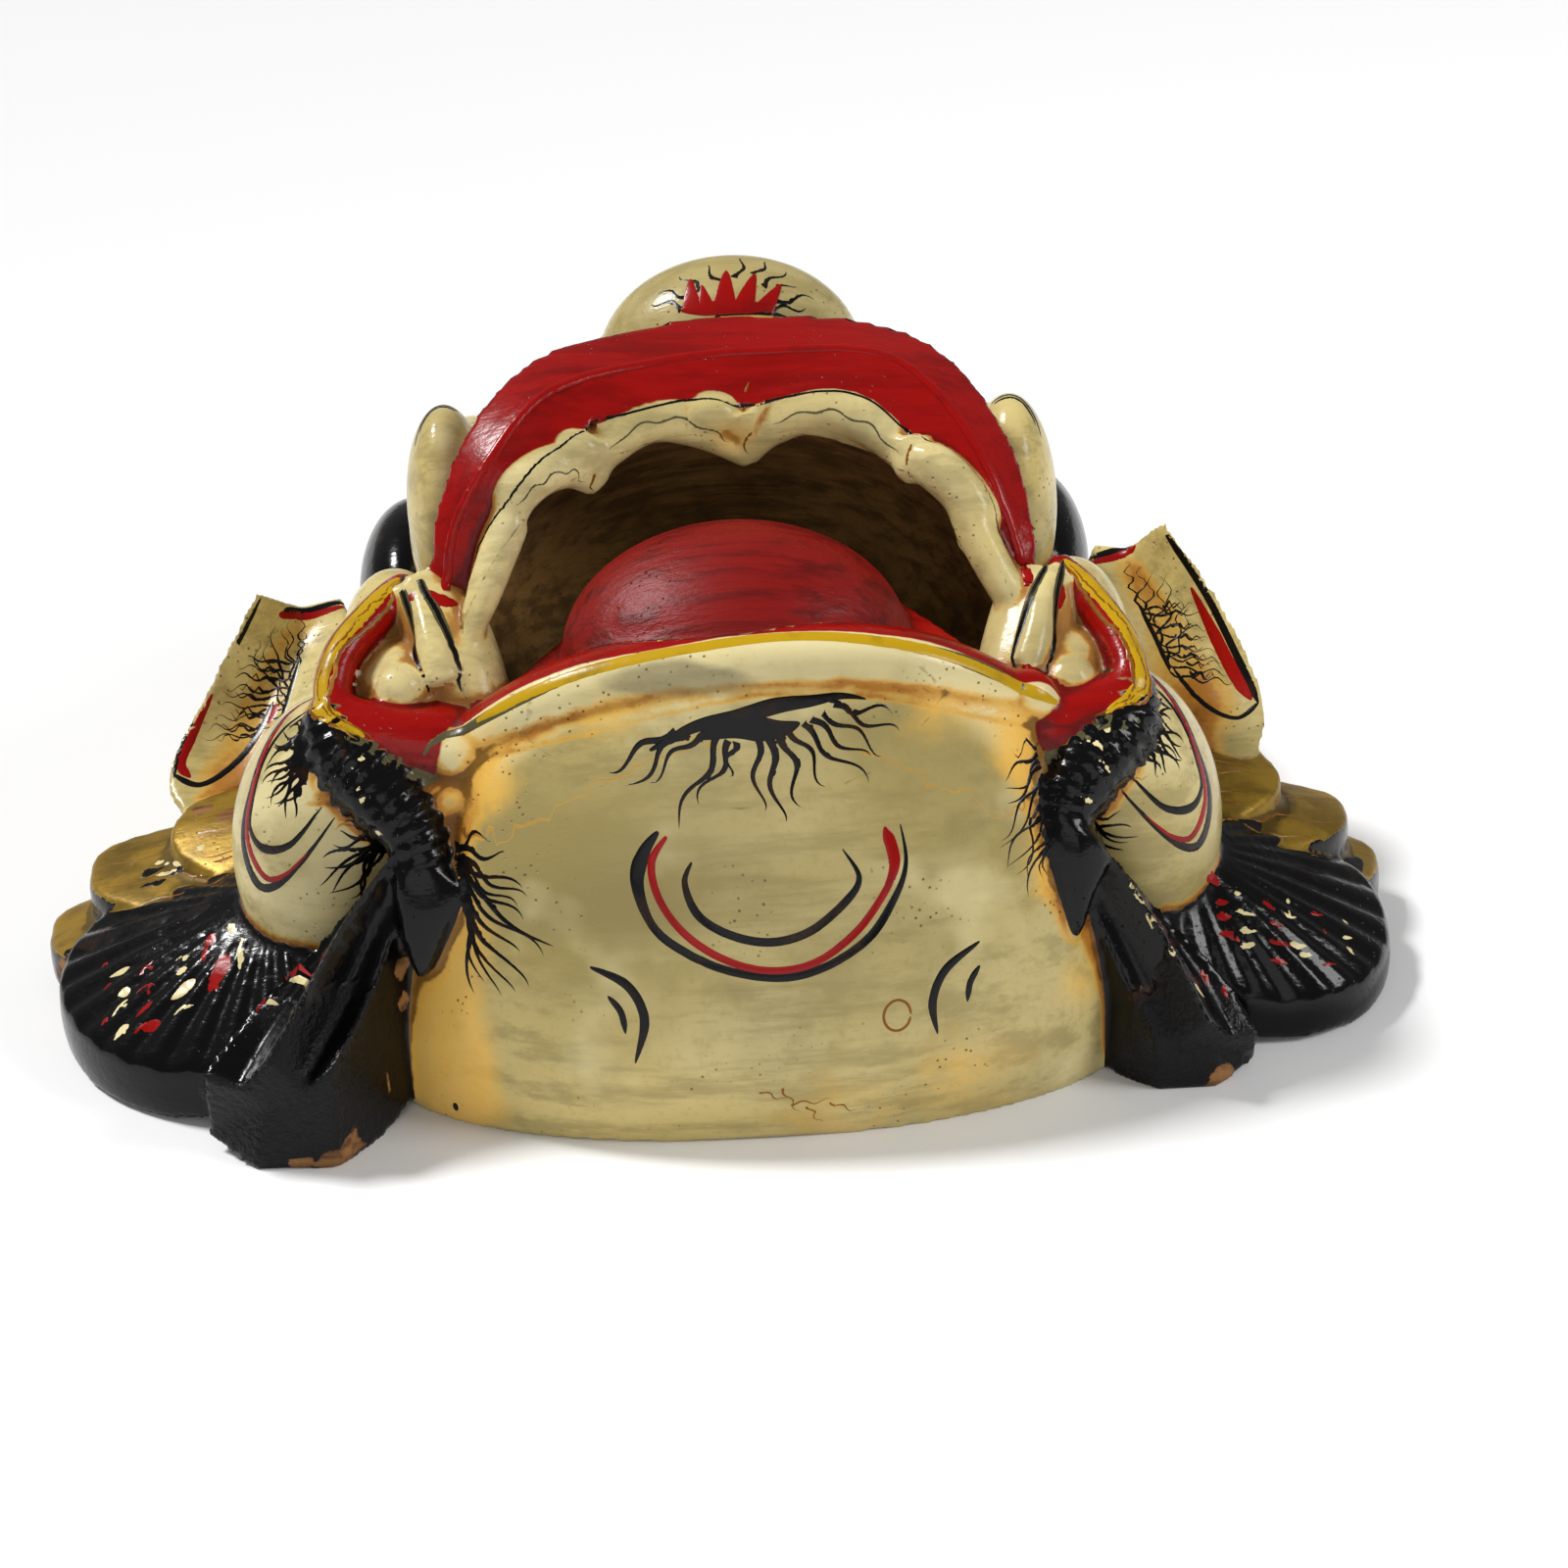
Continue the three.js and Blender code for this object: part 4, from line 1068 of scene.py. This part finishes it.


# ---- Materials ----


# Colours that no one paint has: old varnish, the dark grey of a painted shadow on the lower lip, wood under
# a chip with its grain, and olive with its worn places
VARNISH, LIP_SHADOW_GREY = (0.92, 0.54, 0.1), (0.13, 0.11, 0.07)
CHIPPED, CHIPPED_GRAIN = (0.3, 0.14, 0.045), (0.09, 0.04, 0.015)
OLIVE, OLIVE_WORN = (0.09, 0.08, 0.035), (0.03, 0.03, 0.015)


class Field:
    """A node's output, on which Python's arithmetic adds Math nodes."""

    def __init__(self, tree, socket=None):
        self.tree, self.socket = tree, socket

    def node(self, kind, settings=None, sockets=None, out=0):
        made = self.tree.nodes.new(kind)
        for key, value in (settings or {}).items():
            setattr(made, key, value)
        for key, value in (sockets or {}).items():
            if isinstance(value, Field):
                self.tree.links.new(value.socket, made.inputs[key])
            else:
                made.inputs[key].default_value = value
        return Field(self.tree, made.outputs[out])

    def math(self, operation, *values):
        return self.node("ShaderNodeMath", {"operation": operation}, dict(enumerate(values)))

    def __add__(self, other):
        return self.math("ADD", self, other)

    def __sub__(self, other):
        return self.math("SUBTRACT", self, other)

    def __rsub__(self, other):
        return self.math("SUBTRACT", other, self)

    def __mul__(self, other):
        return self.math("MULTIPLY", self, other)

    def over(self, low, high):
        """From 0 where the value is low to 1 where it is high, with soft ends."""
        return self.node("ShaderNodeMapRange", {"interpolation_type": "SMOOTHSTEP"},
                         {"Value": self, "From Min": low, "From Max": high})

    def most(self, other):
        return self.math("MAXIMUM", self, other)

    def coat(self, shade, mask):
        """This colour with another laid over it where the mask is 1."""
        shade = shade if isinstance(shade, Field) else (*shade, 1.0)
        return self.node("ShaderNodeMix", {"data_type": "RGBA"}, {"Factor": mask, 6: self, 7: shade}, out=2)

    def coats(self, *rows):
        """Coats (shade, by, reading, low, high, strength) that show as a reading goes from low to high."""
        colour = self
        for shade, by, reading, low, high, strength in rows:
            colour = colour.coat(darker(shade, by), reading.over(low, high) * strength)
        return colour

    def blend(self, other, mask):
        """This value changed to another where the mask is 1."""
        return self.node("ShaderNodeMix", {"data_type": "FLOAT"}, {"Factor": mask, 2: self, 3: other})


class Paintbox:
    """A material's noises and readings, all on the piece's own coordinates."""

    def __init__(self, name):
        self.material = bpy.data.materials.new(name)
        self.material.use_nodes = True
        tree = self.material.node_tree
        self.start = Field(tree)
        self.shader = tree.nodes["Principled BSDF"]
        self.place = self.start.node("ShaderNodeTexCoord", out=3)

    def scaled(self, stretch):
        return self.start.node("ShaderNodeMapping", None, {"Vector": self.place, "Scale": stretch})

    def noise(self, scale, detail=3.0, rough=0.5, stretch=(1, 1, 1)):
        return self.start.node("ShaderNodeTexNoise", None,
                               {"Vector": self.scaled(stretch), "Scale": scale, "Detail": detail,
                                "Roughness": rough, "Distortion": 0.0})

    def cells(self, scale):
        return self.start.node("ShaderNodeTexVoronoi", {"feature": "F1"},
                               {"Vector": self.scaled((1, 1, 1)), "Scale": scale})

    def reading(self, name):
        both = self.start.node("ShaderNodeAttribute", {"attribute_name": name}, out=1)
        split = self.start.node("ShaderNodeSeparateXYZ", None, {"Vector": both})
        return [Field(both.tree, split.socket.node.outputs[k]) for k in range(3)]

    def shade(self, value):
        return self.start.node("ShaderNodeCombineColor", None, dict(enumerate(value)))

    def finish(self, colour, roughness, metallic=None, height=None, depth=0.0):
        """Joins the readings to the shader. The height's full range stands depth metres high."""
        normal = height and self.start.node("ShaderNodeBump", None,
                                            {"Height": height, "Distance": depth, "Strength": 1.0})
        for name, value in (("Base Color", colour), ("Roughness", roughness), ("Metallic", metallic),
                            ("Normal", normal)):
            if value:
                self.start.tree.links.new(value.socket, self.shader.inputs[name])
        self.shader.inputs["Specular IOR Level"].default_value = 0.22
        return self.material


def darker(shade, by):
    return tuple(part * by for part in shade)


def painted_wood(paint):
    """The carving's paints, its stains, its bare wood and its painted shade and light, told apart by the
    readings on its surface.
    """
    box = Paintbox("painted_wood")
    red, black, gold = box.reading("paint_a")
    tooth, tongue, wood = box.reading("paint_b")
    crease, hollow, stained = box.reading("form")
    lip_shadow_patch, chipped, blunt = box.reading("wear")
    shadow, lip_top_light, fold = box.reading("mood")
    ragged = (box.noise(260) - 0.5) * 1.4
    broad, patches, fine = box.noise(14), box.noise(45, 4, 0.6), box.noise(500, 3, 0.6)
    streaks = box.noise(60, 4, 0.65, (0.3, 2.4, 2.4))
    grain = box.noise(120, 5, 0.65, (0.12, 1.6, 1.6))
    pores = (1 - box.cells(420).over(0.06, 0.2)) * box.noise(30, 2).over(0.5, 0.62)

    # How deep a spot lies in the creases and hollows, and how close to the fold across the chin
    hollow = hollow.math("MINIMUM", hollow, 2.5).most(-1.0)
    depth = crease * 2.6 + hollow * 0.22 + patches * 1.7 + broad * 0.7 + fine * 0.9 + stained * 0.7
    seam = fold.math("ABSOLUTE", fold + (box.noise(70, 4, 0.7) * 5 - 2.5) * 0.6)
    depth = depth + (1 - seam.over(0.0, 6.0)) * 0.8 + (1 - seam.over(0.0, 1.3)) * 0.9
    dirt = depth.over(2.3, 3.2)

    cream = box.shade(paint.cream).coats(
        (paint.pale, 1, broad, 0.42, 0.7, 0.7), (paint.cream, 0.55, streaks, 0.44, 0.66, 0.7),
        (paint.cream, 0.45, patches, 0.48, 0.72, 0.6), (paint.cream, 0.6, fine, 0.5, 0.75, 0.35),
        (paint.cream, 0.5, box.noise(9), 0.46, 0.7, 0.6))
    # Painted shade darkens the chin under the lip and the nose; painted light makes the top of the lower
    # lip paler
    cream = cream.coat(darker(paint.cream, 0.52), shadow * (broad + 0.5) * 0.75).coat(paint.pale,
                                                                                      lip_top_light * 0.75)
    cream = cream.coats((paint.pale, 1, box.noise(26), 0.54, 0.7, 0.5),
                        (paint.amber, 1, depth, 1.6, 2.5, 0.8))
    cream = cream.coat(paint.stain, dirt * 0.85)
    cream = cream.coats((VARNISH, 1, stained + patches * 0.8 - 0.4, 0.2, 0.7, 0.75),
                        (paint.stain, 0.3, depth, 3.3, 4.2, 0.85))
    cream = cream.coat(darker(paint.stain, 0.3), pores * 0.8)
    bone = cream.coat(paint.pale, 0.15).coats((paint.stain, 0.8, depth, 1.9, 2.9, 0.6))
    # Painted shadow: the grey patch on the lower lip
    cream = cream.coats((LIP_SHADOW_GREY, 1, lip_shadow_patch + patches * 0.5, 0.7, 1.0, 0.55))

    # The red darkens along brush streaks, and deep in the creases as painted shade
    enamel = box.shade(paint.red).coats((paint.red, 0.5, streaks, 0.42, 0.7, 0.7),
                                        (paint.red, 0.25, depth, 2.3, 3.4, 0.7))
    flesh = box.shade(paint.tongue).coats((paint.tongue, 0.4, grain, 0.45, 0.66, 0.8))
    flesh = flesh.coat(darker(paint.tongue, 0.15), pores * 0.8)
    hair = box.shade(paint.black).coats((paint.stain, 0.3, patches, 0.66, 0.8, 0.5))
    gilt = box.shade(paint.gold).coats((paint.gold, 0.4, patches, 0.44, 0.68, 0.8),
                                       (paint.gold, 0.3, grain, 0.5, 0.66, 0.5),
                                       (paint.gold, 0.2, depth, 2.0, 3.0, 0.8))
    timber = box.shade(paint.wood).coat(darker(paint.wood, 0.45), grain.over(0.4, 0.65))
    timber = timber.coats((paint.wood, 0.25, patches, 0.45, 0.72, 0.8))

    masks, colour = {}, cream
    for name, reading, shade in (("tooth", tooth, bone), ("red", red, enamel), ("tongue", tongue, flesh),
                                 ("black", black, hair), ("gold", gold, gilt), ("wood", wood, timber)):
        masks[name] = 1 - (reading + ragged * 0.35).over(-0.25, 0.25)
        colour = colour.coat(shade, masks[name])
    bare = (chipped + patches * 0.5 + fine * 0.2).over(0.92, 0.98) * (1 - masks["wood"])
    colour = colour.coat(box.shade(CHIPPED).coat(CHIPPED_GRAIN, grain.over(0.4, 0.65)), bare)
    roughness = (fine * 0.14 + patches * 0.2 + 0.06).blend(0.75, masks["wood"]).blend(0.14,
                                                                                      masks["black"] * 0.7)
    roughness = roughness.blend(0.42, masks["gold"] * 0.8).blend(0.46, masks["tongue"] * 0.85)
    roughness = (roughness + dirt * 0.12).blend(0.6, (blunt * 0.8).most(bare))
    height = streaks * 0.4 + fine * 0.12 + patches * 0.35 - pores * 0.5
    height = height + grain * (masks["wood"] * 1.2 + masks["tongue"] * 1.2) + fine * blunt * 1.5
    return box.finish(colour, roughness, masks["gold"] * 0.35, height, 0.0006)


def stroke_paint(name, shade, worn):
    """Thin enamel, darker or paler where the brush ran dry."""
    box = Paintbox(name)
    patches, fine = box.noise(90, 4, 0.6), box.noise(600)
    colour = box.shade(shade).coat(worn, patches.over(0.5, 0.75) * 0.6)
    return box.finish(colour, patches * 0.2 + 0.14, None, patches * 0.4 + fine * 0.3, 0.0002)


def plain(name, shade, rough):
    box = Paintbox(name)
    return box.finish(box.shade(shade), box.noise(4) * 0.02 + rough)


# ---- The operators, the panel and the run ----


# The camera's place in metres, how far it looks down and how far it rolls in degrees, its lens in
# millimetres, and the shift of its frame
CAMERA_PLACE, CAMERA_DOWN, CAMERA_ROLL = (0.0076, -0.8168, 0.4532), 27, 3
CAMERA_LENS, CAMERA_SHIFT = 69.23, (0.033, -0.0375)
# Each light's name, kind, place, size (an angle for the sun) and power, and the spot they all face
LIGHTS = [("key", "SUN", (-0.7, 0.3, 1.05), 0.22, 3.2), ("second", "AREA", (1.0, -0.45, 0.8), 0.4, 6.5),
          ("fill", "AREA", (-0.1, -1.6, 0.8), 1.2, 5)]
LIT_SPOT = Vector((0, 0, 0.05))


def settle(made, name, material):
    """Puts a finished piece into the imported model's frame, in metres, with its material."""
    spots = (coordinates(made.data) + SHIFT) * MM
    spots[:, 2] = np.maximum(spots[:, 2], LOW[2])
    made.data.vertices.foreach_set("co", spots.astype(np.float32).ravel())
    made.data.shade_smooth()
    made.data.set_sharp_from_angle(angle=math.radians(SHARP))
    made.data.update()
    made.name = made.data.name = name
    made.data.materials.clear()
    made.data.materials.append(material)
    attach(made, "root")


class MASK_OT_carving(bpy.types.Operator):
    """Carve the mask, paint it and put it in the place of its solid"""

    bl_idname = "barong.carving"
    bl_label = "Carved mask"

    def execute(self, context):
        made, trees = carve(form())
        mark_zones(made, trees)
        settle(made, "carved_mask", painted_wood(context.scene.mask_paint))
        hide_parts(NODE)
        return {"FINISHED"}


class MASK_OT_strokes(bpy.types.Operator):
    """Paint the hairs, rings, lines and flecks onto the carved mask, one piece for each colour"""

    bl_idname = "barong.strokes"
    bl_label = "Painted strokes"

    def execute(self, context):
        made = bpy.data.objects.get("carved_mask")
        if made is None:
            raise RuntimeError("The carved mask has to be made before its strokes")
        brush = Brush(made)
        for draw in (draw_chin, draw_face, draw_cheeks, draw_ears, draw_hair, draw_lobes, draw_top):
            draw(brush)
        paint = context.scene.mask_paint
        shades = {"black": (paint.black, darker(paint.stain, 0.1)),
                  "red": (paint.red, darker(paint.red, 0.5)),
                  "white": (paint.pale, paint.cream), "yellow": (paint.yellow, darker(paint.yellow, 0.35)),
                  "umber": (darker(paint.stain, 0.6), paint.amber), "olive": (OLIVE, OLIVE_WORN)}
        for pot, parts in brush.pots.items():
            settle(object_of(parts, pot), pot + "_strokes", stroke_paint(pot + "_enamel", *shades[pot]))
        return {"FINISHED"}


class MASK_OT_stage(bpy.types.Operator):
    """Set the pale floor, the soft studio lights and the camera"""

    bl_idname = "barong.stage"
    bl_label = "Studio stage"

    def execute(self, context):
        scene = context.scene
        bpy.ops.mesh.primitive_plane_add(size=60, location=(0, 0, 0))
        floor = context.object
        floor.name = "floor"
        floor.data.materials.append(plain("studio_floor", scene.mask_paint.floor, 0.6))
        camera = bpy.data.objects.new("camera", bpy.data.cameras.new("camera"))
        scene.collection.objects.link(camera)
        down, tilt = math.radians(CAMERA_DOWN), math.radians(CAMERA_ROLL)
        back = Vector((0, -math.cos(down), math.sin(down)))
        right = Vector((1, 0, 0))
        up = back.cross(right)
        across = right * math.cos(tilt) - up * math.sin(tilt)
        above = right * math.sin(tilt) + up * math.cos(tilt)
        turned = Matrix((across, above, back)).transposed().to_4x4()
        camera.matrix_world = Matrix.Translation(CAMERA_PLACE) @ turned
        camera.data.lens, camera.data.sensor_width = CAMERA_LENS, 36
        camera.data.shift_x, camera.data.shift_y = CAMERA_SHIFT
        scene.camera = camera
        scene.view_settings.view_transform = "Standard"
        for name, kind, place, size, power in LIGHTS:
            light = bpy.data.lights.new(name, kind)
            light.energy = power
            setattr(light, "angle" if kind == "SUN" else "size", size)
            lamp = bpy.data.objects.new(name, light)
            lamp.location = place
            lamp.rotation_euler = (LIT_SPOT - Vector(place)).to_track_quat("-Z", "Y").to_euler()
            scene.collection.objects.link(lamp)
        world = bpy.data.worlds.new("studio")
        world.use_nodes = True
        sky = world.node_tree.nodes["Background"].inputs
        sky["Strength"].default_value, sky["Color"].default_value = 0.2, (1, 1, 1, 1)
        scene.world = world
        return {"FINISHED"}


class MASK_PT_panel(bpy.types.Panel):
    """Lists the steps that build the mask"""

    bl_idname = "MASK_PT_panel"
    bl_label = "Barong Mask"
    bl_space_type = "VIEW_3D"
    bl_region_type = "UI"
    bl_category = "Barong Mask"

    def draw(self, context):
        for name in STEPS:
            self.layout.operator(name)
        for group in (context.scene.mask_form, context.scene.mask_paint):
            for name in group.bl_rna.properties.keys():
                if name not in ("rna_type", "name"):
                    self.layout.prop(group, name)


STEPS = ("barong.stage", "barong.carving", "barong.strokes")
CLASSES = (MaskForm, MaskPaint, MASK_OT_stage, MASK_OT_carving, MASK_OT_strokes, MASK_PT_panel)


def register():
    for made in CLASSES:
        bpy.utils.register_class(made)
    bpy.types.Scene.mask_form = PointerProperty(type=MaskForm)
    bpy.types.Scene.mask_paint = PointerProperty(type=MaskPaint)


def unregister():
    del bpy.types.Scene.mask_paint
    del bpy.types.Scene.mask_form
    for made in reversed(CLASSES):
        bpy.utils.unregister_class(made)


def main():
    register()
    bpy.ops.barong.stage()
    bpy.ops.barong.carving()
    bpy.ops.barong.strokes()


if __name__ == "__main__":
    main()
